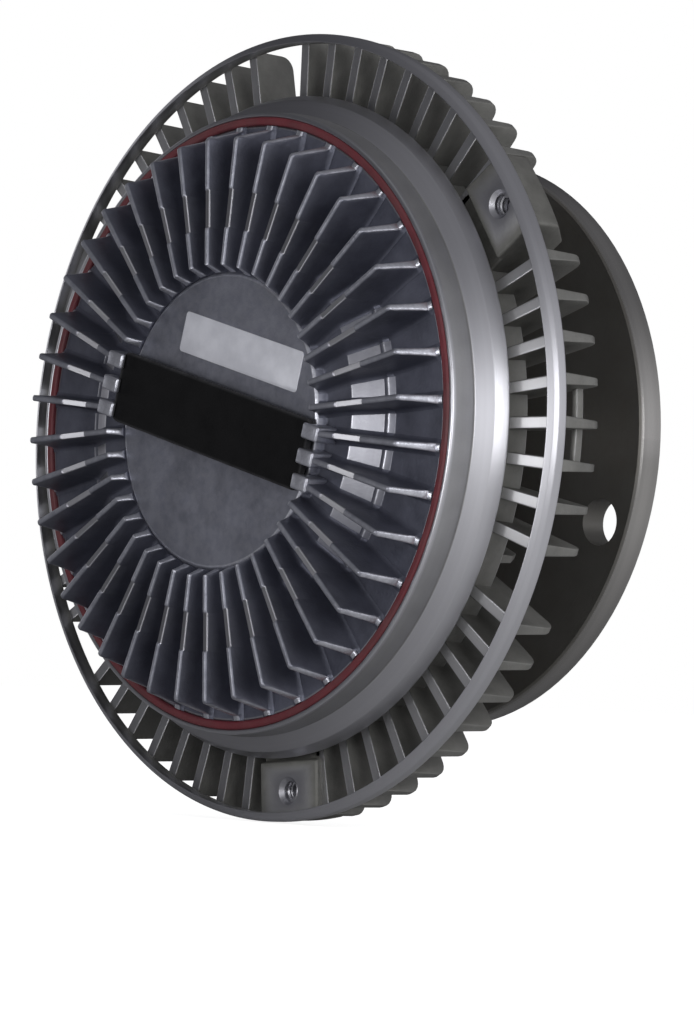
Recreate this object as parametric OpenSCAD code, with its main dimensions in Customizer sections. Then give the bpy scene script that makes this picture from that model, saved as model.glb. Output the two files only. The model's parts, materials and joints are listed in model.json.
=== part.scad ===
// Viscous fan clutch with a bimetal strip: a finned housing that turns on a flanged drive shaft.
// Every piece is drawn with the axis along Z and the front upwards, then laid down so that the
// front faces -Y. Z = 0 is the mounting face of the drive flange.

/* [Fan flange ring] */
// Outside diameter of the ring that carries the fan
ring_od = 260; // [250:1:272]
// Radial width of the ring
ring_w = 3; // [2.6:0.1:4]
// Depth of the ring behind its sloped front face
ring_t = 4.2; // [3.8:0.1:6]
// Height of the sloped face's outer edge above the mounting face
ring_z = 80.5; // [77:0.5:90]
// Width and height of the ring's sloped front face
ring_slope = 2.4; // [1.8:0.1:2.5]
// Bevel along the ring's rear edge
ring_bevel = 1; // [0.4:0.1:1.2]

/* [Fan bosses] */
// Distance of the fan holes from the ring's edge
fan_inset = 10; // [8:0.5:13]
// Number of fan bosses
fan_bolt_count = 3; // [2:1:4]
// Diameter of the tapped holes before threading
fan_hole_d = 6.8; // [5:0.1:8.5]
// Width of a boss along the ring
fan_boss_w = 28; // [20:0.5:32]
// Angle of the first boss, from +X
fan_boss_angle = 35; // [30:0.5:40]
// Depth of the boss faces below the ring's face
fan_boss_recess = 1; // [0.5:0.1:2]
// Clearance between the boss faces and the shoulder
fan_seat_gap = 0.6; // [0.3:0.1:1.5]
// Size of the countersink at each tapped hole
fan_hole_bevel = 1.3; // [0.5:0.1:2]

/* [Body ribs] */
// Number of rib positions around the body
rib_count = 60; // [48:6:66]
// Thickness of a rib at its front edge
rib_front_t = 4; // [3.2:0.1:4.4]
// Thickness of a rib at its rear edge
rib_rear_t = 2.2; // [1.8:0.1:2.6]
// Depth of the ribs' front edges below the ring's face
rib_recess = 3.2; // [2:0.1:3.6]
// Depth of the ribs' rear edges below the ring's face
rib_depth = 20.3; // [18:0.1:24]
// Corner radius at the rear of a rib
rib_corner_r = 5; // [2:0.5:6]
// How far the ribs' outer edges lean in towards the rear
rib_lean = 2.5; // [0.5:0.1:3]
// Radial length of the air windows that shows between shoulder and ring
window_w = 17.6; // [15:0.1:19]
// Angle of the first missing rib, which leaves a double window
wide_window_angle = 96; // [90:6:102]
// Radial thickness of the web that bridges three ribs
bridge_t = 2.2; // [2:0.1:4]
// Distance of that web from the ring's edge
bridge_inset = 9; // [7:0.5:11]
// Length of that web along the axis
bridge_l = 3; // [2:0.5:5]

/* [Body] */
// Radial width of the machined cone around the body
shoulder_w = 6.8; // [5:0.1:8]
// Height of the cone's outer edge above the ring's face
shoulder_rise = 4.7; // [4:0.1:5.5]
// Height of the cone's inner edge above the ring's face
cone_rise = 9.2; // [8:0.1:9.8]
// Height of the shoulder's bevel
shoulder_bevel = 3.4; // [2:0.1:3.8]
// How far the shoulder overhangs the wall behind it
shoulder_overhang = 4.4; // [3:0.1:6]
// Thickness of the rolled lip
lip_t = 1.6; // [1.2:0.1:2]
// Height of the lip above the ring's face
lip_rise = 18.7; // [18.4:0.1:19.5]
// Draft of the wall below the lip
lip_draft = 0.6; // [0.3:0.1:1]
// Thickness of the body's rear wall
wall_t = 7; // [5:0.1:8]
// Wall around the bearing
hub_wall = 8; // [6:0.5:10]
// Fillet between hub and rear wall
hub_fillet = 4; // [2:0.5:6]

/* [Working chamber] */
// Height of the ring-shaped lands that shear the fluid
land_h = 5; // [4:0.1:5.6]
// Thickness of a land
land_t = 1.6; // [1.2:0.1:2]
// Gap between lands
land_gap = 0.6; // [0.5:0.05:0.9]
// Thickness of the rotor's web
rotor_web_t = 4.5; // [3.5:0.1:5.5]
// Gap around the rotor's rim
rotor_rim_gap = 0.9; // [0.6:0.1:1.5]
// Wall of the rotor's hub
rotor_hub_wall = 10; // [7:0.5:12]
// Height of the cover's inner face above the ring's face
floor_rise = 11.5; // [11:0.1:12]

/* [Front cover] */
// Height of the outer flat between the fins, above the ring's face
rim_rise = 18; // [17.7:0.1:18.3]
// Radial width of the outer flat
rim_flat_w = 22.3; // [20:0.1:24]
// Height of the step at the inner edge of the outer flat
rim_step = 1.5; // [1:0.1:2]
// Radial width of the flat above that step
mid_flat_w = 2; // [1.5:0.1:3]
// Height of the flat around the centre disc, above the ring's face
dome_rise = 24.5; // [24:0.1:25.2]
// Radial width of the flat around the centre disc
dome_flat_w = 12; // [9:0.5:13]
// Diameter of the flat centre disc
disc_od = 96; // [92:0.5:98]
// Height of the centre disc above the ring's face
disc_rise = 27.3; // [26.8:0.1:28]
// Radial width of the seat that carries the cover's rim
rim_seat_w = 3.3; // [2.5:0.1:4]
// Width of the red sealing bead
bead_w = 2.8; // [2.2:0.1:3.4]
// Height of the sealing bead above the outer flat
bead_proud = 1.1; // [0.5:0.1:1.6]

/* [Front fins] */
// Number of fins
fin_count = 40; // [36:1:44]
// Height of the fins above the ring's face
fin_rise = 33; // [32.2:0.1:34]
// Thickness of a fin at its front edge
fin_tip_t = 2; // [1.6:0.1:2.4]
// Thickness of a fin at its foot
fin_root_t = 3; // [2.5:0.1:3.6]
// Depth of the groove turned into the fins' front edges
fin_saddle = 0.5; // [0.3:0.1:1]
// How far the outer edges lean in from foot to corner
fin_lean = 4.5; // [3:0.1:7]
// Corner radius of a fin
fin_corner_r = 1; // [0.5:0.5:3]
// Height of the small toe at the foot of each fin
fin_toe = 1.4; // [0.8:0.1:2]

/* [Bimetal strip] */
// Length of the strip
strip_l = 98; // [95:0.5:100]
// Width of the strip
strip_w = 23.5; // [20:0.5:26]
// Thickness of the strip
strip_t = 2; // [1.5:0.1:2.2]
// Gap between strip and centre disc
strip_gap = 2.2; // [2:0.1:2.5]
// Angle of the strip, from +X
strip_angle = -14.5; // [-23.5:9:-5.5]
// Width of a lug staked over the strip's ends
lug_w = 5; // [4:0.1:6]
// Radial length of a lug
lug_l = 6; // [4:0.5:8]
// How far a lug's nose reaches over the strip
lug_nose = 1.6; // [1:0.1:2]

/* [Control valve] */
// Diameter of the control pin
pin_d = 6; // [5:0.1:7]
// Diameter of the pin's boss inside the cover
pin_boss_d = 16; // [14:0.5:20]
// Cross-section of the pin's seal
pin_seal_t = 1.8; // [1.5:0.1:2.2]
// Diameter of the fluid reservoir
reservoir_d = 113; // [108:0.5:116]
// Width of the ledge that carries the separator plate
plate_ledge_w = 5; // [4.5:0.1:6]
// Thickness of the separator plate
plate_t = 1.5; // [1.2:0.1:2]
// Roof thickness over the reservoir
roof_t = 3.5; // [3:0.1:4.5]
// Number of plate rivets
plate_rivet_count = 6; // [4:1:8]
// Diameter of the rivets
rivet_d = 3; // [2.5:0.1:3.4]
// Diameter of the valve port
port_d = 7; // [5:0.5:9]
// Distance from the pin to the valve port
port_x = 32; // [28:0.5:36]
// Distance from the pin to the lever's root
lever_root_x = 38; // [34:0.5:42]
// Width of the valve lever
lever_w = 9; // [7:0.5:12]
// Thickness of the valve lever
lever_t = 0.8; // [0.6:0.1:1.2]
// Angle of the lever, from +X
lever_angle = 30; // [0:5:60]
// Arc of the pump body
pump_arc = 26; // [18:1:36]
// Radial width of the pump body
pump_w = 7.5; // [6:0.5:9]
// Diameter of the return channel
return_d = 3; // [2:0.1:3.2]

/* [Bearing] */
// Bore of the bearing
bearing_bore = 40; // [36:1:42]
// Outside diameter of the bearing
bearing_od = 80; // [76:1:84]
// Width of the bearing
bearing_w = 18; // [16:0.5:20]
// Diameter of a ball
ball_d = 11.9; // [10:0.1:12.5]
// Number of balls
ball_count = 9; // [7:1:9]
// Sheet thickness of the ball cage
cage_t = 0.9; // [0.6:0.1:1]
// Depth of the bearing's front face below the ring's face
bearing_sink = 26; // [24:0.5:28]
// Thickness of the retaining rings
circlip_t = 1.75; // [1.4:0.05:2]
// Radial width of the retaining rings
circlip_w = 4; // [3:0.5:5]

/* [Drive flange and shaft] */
// Diameter of the drive flange
flange_od = 193; // [186:1:200]
// Thickness of the drive flange
flange_t = 9.5; // [7:0.5:10.5]
// Bevel along the flange's front edge, twice that of its rear edge
flange_bevel = 1.2; // [0.6:0.1:1.8]
// Bolt circle of the drive flange
flange_pcd = 167; // [155:0.5:170]
// Number of flange bolts
flange_bolt_count = 4; // [4:1:8]
// Diameter of the flange's bolt holes
flange_hole_d = 15.5; // [11:0.5:16.5]
// Angle of the first bolt hole, from +X
flange_hole_angle = -19; // [-30:1:30]
// Diameter of the pilot bore in the mounting face
pilot_d = 36; // [30:0.5:38]
// Depth of the pilot bore
pilot_depth = 10; // [8:0.5:14]
// Shoulder on the shaft behind the bearing
neck_step = 5; // [4:0.5:6]
// Fillet between neck and flange
neck_fillet = 6; // [4:0.5:9]
// Step down from bearing seat to rotor seat
rotor_seat_step = 3; // [2:0.5:4]
// Thickness of the dust slinger
slinger_t = 1.5; // [1:0.1:2]

/* [Fits] */
// Clearance between pieces that are seated in each other
fit_gap = 0.05; // [0.02:0.01:0.1]
// Radial clearance of the control pin in its bore
slide_gap = 0.04; // [0.02:0.01:0.08]
// Clearance between balls and raceways
ball_gap = 0.1; // [0.05:0.01:0.15]
// Clearance between pieces that pass each other
run_gap = 0.35; // [0.3:0.05:0.5]

/* [Hidden] */
$fn = 96;
eps = 0.5;
fine_step = 6;

// Radii, from the ring inwards
ring_r = ring_od / 2;
window_r = ring_r - ring_w;
shoulder_r = window_r - window_w;
cone_r = shoulder_r - shoulder_w;
wall_r = shoulder_r - shoulder_overhang;
fan_pcd = ring_od - 2 * fan_inset;
lip_r = cone_r - lip_draft;
lip_in_r = lip_r - lip_t;
cover_r = lip_in_r - fit_gap;
chamber_r = lip_in_r - rim_seat_w;
bead_r = lip_in_r - fit_gap;
cover_top_r = bead_r - bead_w - fit_gap;
disc_r = disc_od / 2;
reservoir_r = reservoir_d / 2;
plate_seat_r = reservoir_r + plate_ledge_w;
plate_r = plate_seat_r - fit_gap;
rotor_r = chamber_r - rotor_rim_gap;
bearing_r = bearing_od / 2;
hub_r = bearing_r + hub_wall;
hub_open_r = bearing_r - neck_step;
neck_r = bearing_bore / 2 + neck_step;
seat_r = bearing_bore / 2 - fit_gap;
rotor_seat_r = seat_r - rotor_seat_step;
rotor_hub_r = rotor_seat_r + rotor_hub_wall;
pin_r = pin_d / 2;
pin_bore_r = pin_r + slide_gap;

// Heights along the axis
rim_z = ring_z + rim_rise;
mid_z = rim_z + rim_step;
dome_z = ring_z + dome_rise;
disc_z = ring_z + disc_rise;
fin_z = ring_z + fin_rise;
floor_z = ring_z + floor_rise;
web_top_z = floor_z - land_h - land_gap;
web_low_z = web_top_z - rotor_web_t;
body_floor_z = web_low_z - land_h - land_gap;
wall_z = body_floor_z - wall_t;
rib_top_z = ring_z - rib_recess;
rib_low_z = ring_z - rib_depth;
bearing_top_z = ring_z - bearing_sink;
bearing_low_z = bearing_top_z - bearing_w;
hub_low_z = bearing_low_z - 2 * circlip_t;
lip_top_z = ring_z + lip_rise;
cover_seat_z = floor_z - land_gap - fit_gap;
nose_z = rim_z - 2 * rim_step;
nose_w = (lip_in_r - cover_top_r) / 2;
nose_t = 0.8;
bead_low_z = nose_z + nose_t + fit_gap;
plate_top_z = floor_z + plate_t + fit_gap;
roof_z = dome_z - roof_t;
pin_boss_z = roof_z - roof_t;
lever_z = plate_top_z + 2 * fit_gap;
lever_top_z = lever_z + lever_t;
strip_z = disc_z + strip_gap;
strip_top_z = strip_z + strip_t;
rotor_low_z = bearing_top_z + 2 * circlip_t + fit_gap;
rotor_top_z = web_top_z + circlip_t;
shaft_top_z = rotor_top_z + 1.6 * circlip_t;

// Fluid lands: the rotor's lie between those of body and cover
land_pitch = 2 * (land_t + land_gap);
land_r0 = plate_seat_r + land_pitch;
land_r1 = chamber_r - rotor_rim_gap - pump_w - land_pitch;
land_count = floor((land_r1 - land_r0) / land_pitch) + 1;
pump_in_r = chamber_r - rotor_rim_gap - pump_w;
pump_out_r = chamber_r - rotor_rim_gap;

// Radii of the cover's outer face
rim_in_r = cover_top_r - rim_flat_w;
mid_in_r = rim_in_r - rim_step - mid_flat_w;
dome_in_r = disc_r + (disc_z - dome_z) * 0.7;
dome_r = dome_in_r + dome_flat_w;
fin_pitch = 360 / fin_count;
rib_pitch = 360 / rib_count;

// Where plate and pump rivets sit
plate_rivet_r = reservoir_r + plate_ledge_w / 2;
pump_rivet_r = (pump_in_r + pump_out_r) / 2;
rivet_r = rivet_d / 2;
rivet_head_t = rivet_d / 3;
rivet_depth = rivet_d * 1.4;
lever_rivet_x = -lever_root_x + lever_w / 2 + rivet_r;

// Bearing races, about the pitch circle of the balls
pitch_r = (bearing_bore + bearing_od) / 4;
ball_r = ball_d / 2;
groove_r = ball_r + ball_gap;
race_step = ball_r * 0.6;
cage_half_w = race_step / 2;
shield_t = 0.8;
bearing_mid_z = (bearing_top_z + bearing_low_z) / 2;

alu_cast = [0.50, 0.51, 0.55];
alu_turned = [0.62, 0.62, 0.66];
steel = [0.55, 0.55, 0.56];
dark_steel = [0.13, 0.12, 0.12];
seal_red = [0.42, 0.08, 0.10];
strip_black = [0.05, 0.05, 0.05];
rubber_black = [0.08, 0.08, 0.08];
brass = [0.72, 0.58, 0.30];

// Points along an arc about a centre
function arc(centre, radius, from, to) =
    [for (i = [0 : fine_step]) centre
        + radius * [cos(from + (to - from) * i / fine_step), sin(from + (to - from) * i / fine_step)]];

// Lay the axis down, with the front to -Y
module place() { rotate([90, 0, 0]) children(); }

// A solid of revolution from points of radius and height
module turned(points) { rotate_extrude() polygon(points); }

// A plain ring between two radii and two heights
module ring(inner, outer, low, high) {
    turned([[inner, low], [outer, low], [outer, high], [inner, high]]);
}

// Copies around the axis
module around(count, start = 0) {
    for (i = [0 : count - 1]) rotate(start + i * 360 / count) children();
}

// A flat plate in the plane of the axis, from points of radius and height
module radial_plate(points, thickness) {
    rotate([90, 0, 0]) translate([0, 0, -thickness / 2]) linear_extrude(thickness) polygon(points);
}

// An open retaining ring with its gap at the given angle
module circlip(inner, outer, low, gap_angle) {
    rotate(gap_angle + 18) rotate_extrude(angle = 324)
        polygon([[inner, low], [outer, low], [outer, low + circlip_t], [inner, low + circlip_t]]);
}

// Ring-shaped lands, shifted by a share of their pitch
module lands(count, shift, low, high) {
    for (i = [0 : count - 1]) {
        middle = land_r0 + (i + shift) * land_pitch;
        ring(middle - land_t / 2, middle + land_t / 2, low, high);
    }
}

// Drive shaft with its mounting flange, one forging
module drive_shaft() {
    flange_r = flange_od / 2;
    groove = circlip_t + 2 * fit_gap;
    color(dark_steel) place() difference() {
        turned(concat(
            [[0, pilot_depth], [pilot_d / 2, pilot_depth], [pilot_d / 2, 0],
             [flange_r - flange_bevel / 2, 0], [flange_r, flange_bevel / 2],
             [flange_r, flange_t - flange_bevel], [flange_r - flange_bevel, flange_t]],
            arc([neck_r + neck_fillet, flange_t + neck_fillet], neck_fillet, 270, 180),
            [[neck_r, bearing_low_z], [seat_r, bearing_low_z],
             [seat_r, rotor_low_z - fit_gap], [rotor_seat_r, rotor_low_z - fit_gap],
             [rotor_seat_r, shaft_top_z - 1], [rotor_seat_r - 1, shaft_top_z], [0, shaft_top_z]]));
        around(flange_bolt_count, flange_hole_angle) translate([flange_pcd / 2, 0, -eps])
            cylinder(d = flange_hole_d, h = flange_t + 2 * eps);
        ring(seat_r - 1.5, seat_r + eps, bearing_top_z, bearing_top_z + groove);
        ring(rotor_seat_r - 1.5, rotor_seat_r + eps, rotor_top_z, rotor_top_z + groove);
    }
}

// Pressed washer on the shaft that throws dirt away from the bearing
module dust_slinger() {
    top = hub_low_z - 2 * run_gap;
    out = hub_r - 2 * run_gap;
    low = top - 2 * slinger_t;
    inner = neck_r + fit_gap;
    color(steel) place() turned([[inner, low], [inner + slinger_t, low],
        [inner + slinger_t, top - slinger_t], [out - slinger_t, top - slinger_t],
        [out, low + slinger_t / 2], [out + slinger_t, low + slinger_t / 2],
        [out, top], [inner, top]]);
}

// Bearing races, each with a half-round groove for the balls
module raceway() {
    translate([0, 0, bearing_mid_z]) rotate_extrude() translate([pitch_r, 0]) circle(r = groove_r, $fn = 48);
}

module bearing_inner_race() {
    color(steel) place() difference() {
        ring(bearing_bore / 2, pitch_r - race_step, bearing_low_z + fit_gap, bearing_top_z - fit_gap);
        raceway();
    }
}

module bearing_outer_race() {
    color(steel) place() difference() {
        ring(pitch_r + race_step, bearing_r - fit_gap, bearing_low_z + fit_gap, bearing_top_z - fit_gap);
        raceway();
    }
}

module bearing_balls() {
    color(steel) place() around(ball_count) translate([pitch_r, 0, bearing_mid_z]) sphere(r = ball_r, $fn = 48);
}

// One half of the riveted cage: a pressed ribbon, flat between the balls and cupped round each
module cage_half() {
    difference() {
        intersection() {
            union() {
                ring(pitch_r - cage_half_w - eps, pitch_r + cage_half_w + eps, -cage_t, cage_t);
                around(ball_count) translate([pitch_r, 0, 0]) sphere(r = groove_r + cage_t, $fn = 48);
            }
            ring(pitch_r - cage_half_w, pitch_r + cage_half_w, fit_gap, groove_r + 2 * cage_t);
        }
        around(ball_count) translate([pitch_r, 0, 0]) sphere(r = groove_r, $fn = 48);
        around(ball_count, 180 / ball_count) translate([pitch_r, 0, -eps])
            cylinder(r = rivet_r / 2 + fit_gap, h = cage_t + 2 * eps, $fn = 24);
    }
}

module cage_front() {
    color(brass) place() translate([0, 0, bearing_mid_z]) cage_half();
}

module cage_rear() {
    color(brass) place() translate([0, 0, bearing_mid_z]) rotate([180, 0, 0]) cage_half();
}

module cage_rivets() {
    head = rivet_r * 0.4;
    color(steel) place() around(ball_count, 180 / ball_count) translate([pitch_r, 0, bearing_mid_z]) {
        translate([0, 0, -cage_t - head]) cylinder(r = rivet_r / 2, h = 2 * (cage_t + head), $fn = 24);
        for (side = [-1, 1]) translate([0, 0, side * (cage_t + fit_gap + head / 2) - head / 2])
            cylinder(r = rivet_r * 0.8, h = head, $fn = 24);
    }
}

// Thin shields that close the bearing on both sides
module bearing_shields() {
    inset = shield_t * 0.6;
    color(dark_steel) place() for (low = [bearing_low_z + inset, bearing_top_z - inset - shield_t])
        ring(pitch_r - race_step + run_gap, pitch_r + race_step - fit_gap, low, low + shield_t);
}

module shaft_circlip() {
    color(steel) place() circlip(seat_r - 1.4, seat_r - 1.4 + circlip_w, bearing_top_z + fit_gap, 90);
}

module hub_circlip() {
    color(steel) place()
        circlip(bearing_r + 1.4 - circlip_w, bearing_r + 1.4, bearing_low_z - circlip_t - fit_gap, 90);
}

// Rotor: the driven disc, with lands on both faces
module rotor() {
    bore = rotor_seat_r + fit_gap;
    color(alu_turned) place() {
        difference() {
            turned([[bore, rotor_low_z], [rotor_hub_r, rotor_low_z], [rotor_hub_r, web_low_z],
                [rotor_r, web_low_z], [rotor_r, web_top_z], [rotor_hub_r, web_top_z],
                [rotor_hub_r - 2, rotor_top_z - fit_gap], [bore, rotor_top_z - fit_gap]]);
            around(4, 45) translate([(rotor_hub_r + land_r0) / 2, 0, web_low_z - eps])
                cylinder(d = port_d, h = rotor_web_t + 2 * eps);
        }
        lands(land_count, 0, web_top_z - eps, web_top_z + land_h);
        lands(land_count, 0, web_low_z - land_h, web_low_z + eps);
    }
}

module rotor_circlip() {
    color(steel) place() circlip(rotor_seat_r - 1.4, rotor_seat_r - 1.4 + circlip_w, rotor_top_z + fit_gap, 0);
}

// Outline of one rib, which also forms a cooling fin on the rear wall
function fin_start() = [[hub_r + 2 * hub_fillet, wall_z + wall_t / 2], [hub_r + 4 * hub_fillet, rib_low_z]];
function rib_outline() = concat(fin_start(),
    arc([ring_r - rib_lean - rib_corner_r, rib_low_z + rib_corner_r], rib_corner_r, 270, 360),
    [[ring_r - 0.3, rib_top_z], [wall_r - 2, rib_top_z], [wall_r - 2, wall_z + wall_t / 2]]);

// Outline where the rib stops short of the windows
function short_outline() = concat(fin_start(),
    [[wall_r - 4, rib_low_z], [wall_r - 1, rib_low_z + 4], [wall_r - 1, wall_z + wall_t / 2]]);

// True where a rib position is taken by a boss or left open
function turn_between(a, b) = abs(((a - b) % 360 + 540) % 360 - 180);
function near_any(angle, first, count, reach) =
    min([for (i = [0 : count - 1]) turn_between(angle, first + i * 360 / count)]) < reach;

// One rib, drafted from its front edge to its rear edge
module rib(points) {
    intersection() {
        radial_plate(points, rib_front_t + 1);
        rotate([90, 0, 90]) linear_extrude(ring_r) polygon([
            [-rib_rear_t / 2, rib_low_z - eps], [rib_rear_t / 2, rib_low_z - eps],
            [rib_front_t / 2, rib_top_z + eps], [-rib_front_t / 2, rib_top_z + eps]]);
    }
}

module ribs() {
    boss_half = atan(fan_boss_w / fan_pcd);
    for (i = [0 : rib_count - 1]) {
        angle = i * rib_pitch;
        open = near_any(angle, wide_window_angle, fan_bolt_count, rib_pitch / 2);
        taken = near_any(angle, fan_boss_angle, fan_bolt_count, boss_half);
        rotate(angle) rib(open || taken ? short_outline() : rib_outline());
    }
}

// Solid boss under each fan bolt, cut to the ring's outline and stepped down below the shoulder
module fan_bosses() {
    top = ring_z - fan_boss_recess;
    step_z = min(rib_top_z, top - 0.5);
    seat_in = shoulder_r + fan_seat_gap;
    intersection() {
        around(fan_bolt_count, fan_boss_angle) radial_plate([[wall_r - 2, rib_low_z], [ring_r + 2, rib_low_z],
            [ring_r + 2, top], [seat_in, top], [seat_in, step_z], [wall_r - 2, step_z]], fan_boss_w);
        turned([[0, rib_low_z], [ring_r - rib_lean - rib_corner_r, rib_low_z],
            [ring_r - 0.3, rib_low_z + rib_corner_r + rib_lean], [ring_r - 0.3, ring_z], [0, ring_z]]);
    }
}

// Web that ties the ribs about +X together at their rear edges
module rib_bridge() {
    outer = ring_r - bridge_inset;
    low = rib_low_z + 0.6;
    rotate(-rib_pitch) rotate_extrude(angle = 2 * rib_pitch) polygon([[outer - bridge_t, low],
        [outer, low], [outer, low + bridge_l], [outer - bridge_t, low + bridge_l]]);
}

// Body: hub, rear wall, rolled lip, shoulder, ribs and fan ring in one casting
module body() {
    wall_in = lip_in_r - nose_w;
    rim_low_z = ring_z + shoulder_rise - shoulder_bevel;
    fan_hole = fan_hole_d / 2;
    groove = circlip_t + 2 * fit_gap;
    color(alu_cast) place() difference() {
        union() {
            turned(concat(
                [[hub_open_r, body_floor_z], [chamber_r, body_floor_z], [chamber_r, cover_seat_z],
                 [lip_in_r, cover_seat_z], [lip_in_r, nose_z - nose_w], [wall_in, nose_z],
                 [wall_in, nose_z + nose_t], [lip_in_r, nose_z + nose_t]],
                arc([lip_in_r + lip_t / 2, lip_top_z - lip_t / 2], lip_t / 2, 180, 0),
                [[cone_r, ring_z + cone_rise], [shoulder_r - 0.8, ring_z + shoulder_rise],
                 [shoulder_r, rim_low_z], [shoulder_r - 0.8, rim_low_z - 0.8], [wall_r, rim_low_z - 0.8],
                 [wall_r, wall_z + 0.8], [wall_r - 0.8, wall_z]],
                arc([hub_r + hub_fillet, wall_z - hub_fillet], hub_fillet, 90, 180),
                [[hub_r, hub_low_z + 1], [hub_r - 1, hub_low_z], [bearing_r + 1, hub_low_z],
                 [bearing_r, hub_low_z + 1], [bearing_r, bearing_top_z], [hub_open_r, bearing_top_z]]));
            lands(land_count - 1, 0.5, body_floor_z - eps, body_floor_z + land_h);
            turned([[window_r, ring_z - ring_t], [ring_r - ring_bevel, ring_z - ring_t],
                [ring_r, ring_z - ring_t + ring_bevel], [ring_r, ring_z],
                [ring_r - ring_slope, ring_z + ring_slope], [window_r, ring_z + ring_slope]]);
            ribs();
            fan_bosses();
            rib_bridge();
        }
        around(fan_bolt_count, fan_boss_angle) translate([fan_pcd / 2, 0, 0]) {
            translate([0, 0, rib_low_z - eps]) cylinder(r = fan_hole, h = rib_depth + 2 * eps);
            translate([0, 0, ring_z - fan_boss_recess - fan_hole_bevel])
                cylinder(r1 = fan_hole, r2 = fan_hole + fan_hole_bevel, h = fan_hole_bevel);
            translate([0, 0, ring_z - fan_boss_recess])
                cylinder(r = fan_hole + fan_hole_bevel, h = fan_boss_recess + eps);
        }
        ring(bearing_r - eps, bearing_r + 1.5, bearing_low_z - groove, bearing_low_z);
    }
}

// Outline of one fin on the cover, with a shallow groove in its front edge
function fin_outline() = concat(
    [[dome_in_r, dome_z - 1.5], [disc_r + 0.6, disc_z + 1], [disc_r + 2.6, fin_z],
     [dome_r + 0.6, fin_z], [dome_r + 1, fin_z - fin_saddle],
     [rim_in_r, fin_z - fin_saddle], [rim_in_r + 0.4, fin_z]],
    arc([cover_top_r - fin_lean - fin_corner_r, fin_z - fin_corner_r], fin_corner_r, 90, 20),
    [[cover_top_r - fin_toe - 0.1, rim_z + fin_toe], [cover_top_r - 0.1, rim_z + fin_toe],
     [cover_top_r - 0.1, rim_z - 1], [mid_in_r, rim_z - 1], [dome_r, dome_z - 1.5]]);

// A fin that thins towards its front edge
module fin() {
    reach = cover_top_r + 1;
    low = rim_z - 2;
    intersection() {
        radial_plate(fin_outline(), fin_root_t + 1);
        rotate([90, 0, 90]) linear_extrude(reach) polygon([[-fin_root_t / 2, low], [fin_root_t / 2, low],
            [fin_tip_t / 2, fin_z + 0.1], [-fin_tip_t / 2, fin_z + 0.1]]);
    }
}

// Lugs at the strip's ends, staked over it
module strip_lugs() {
    nose_low = strip_top_z + 2 * fit_gap;
    top = max(fin_z, nose_low) + 0.4;
    foot = strip_l / 2 + 2 * fit_gap;
    rotate(strip_angle) for (side = [0, 180], k = [-1 : 1]) rotate(side)
        translate([0, (foot + lug_l / 2) * tan(k * fin_pitch), 0]) rotate([90, 0, 0])
        translate([0, 0, -lug_w / 2]) linear_extrude(lug_w) polygon([[foot, dome_z - 1], [foot, nose_low],
            [foot - lug_nose, nose_low], [foot - lug_nose, top - 0.6], [foot - lug_nose + 0.6, top],
            [foot + lug_l - 1.5, top], [foot + lug_l, top - 1.5], [foot + lug_l, dome_z - 1]]);
}

// Front cover: stepped dome with radial fins, reservoir and fluid lands inside
module front_cover() {
    rim_low = cover_seat_z + fit_gap;
    nose_in = lip_in_r - nose_w - fit_gap;
    pocket = strip_w + 4 * fit_gap;
    color(alu_cast) place() difference() {
        union() {
            turned([[0, disc_z], [disc_r, disc_z], [dome_in_r, dome_z], [dome_r, dome_z], [mid_in_r, mid_z],
                [rim_in_r - rim_step, mid_z], [rim_in_r, rim_z], [cover_top_r, rim_z],
                [cover_top_r, nose_z + nose_t], [nose_in, nose_z + nose_t - fit_gap], [nose_in, nose_z - 0.1],
                [cover_r, nose_z - nose_w - 0.1 - fit_gap], [cover_r, rim_low],
                [chamber_r - land_gap, rim_low], [chamber_r - land_gap, floor_z], [plate_seat_r, floor_z],
                [plate_seat_r, plate_top_z], [reservoir_r, plate_top_z], [reservoir_r, roof_z],
                [pin_boss_d / 2, roof_z], [pin_boss_d / 2, pin_boss_z], [0, pin_boss_z]]);
            lands(land_count - 1, 0.5, floor_z - land_h, floor_z + eps);
            difference() {
                around(fin_count, strip_angle) fin();
                rotate(strip_angle) translate([-strip_l / 2 - lug_l, -pocket / 2, strip_z])
                    cube([strip_l + 2 * lug_l, pocket, fin_rise]);
            }
            strip_lugs();
        }
        translate([0, 0, pin_boss_z - eps]) cylinder(r = pin_bore_r, h = disc_z - pin_boss_z + 2 * eps);
        ring(pin_r - eps, pin_r + pin_seal_t + fit_gap, roof_z, roof_z + pin_seal_t + 2 * fit_gap);
        around(plate_rivet_count) translate([plate_rivet_r, 0, plate_top_z - eps])
            cylinder(r = rivet_r + fit_gap, h = rivet_depth + eps, $fn = 32);
        rotate(lever_angle) {
            for (a = [-0.3, 0.3]) rotate(a * pump_arc) translate([pump_rivet_r, 0, floor_z - eps])
                cylinder(r = rivet_r + fit_gap, h = rivet_depth + eps, $fn = 32);
            rotate(pump_arc / 2 + 3) {
                translate([pump_rivet_r, 0, floor_z - eps])
                    cylinder(d = return_d, h = return_d + eps + 1, $fn = 32);
                translate([reservoir_r - 1, 0, plate_top_z + return_d * 0.65]) rotate([0, 90, 0])
                    cylinder(d = return_d, h = pump_rivet_r - reservoir_r + 1, $fn = 32);
            }
        }
    }
}

// Red bead that seals cover and lip
module cover_seal() {
    round_r = bead_proud * 0.8;
    top = rim_z + bead_proud;
    color(seal_red) place() turned(concat(
        [[bead_r - bead_w, bead_low_z], [bead_r, bead_low_z]],
        arc([bead_r - round_r, top - round_r], round_r, 0, 90),
        arc([bead_r - bead_w + round_r, top - round_r], round_r, 90, 180)));
}

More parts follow.
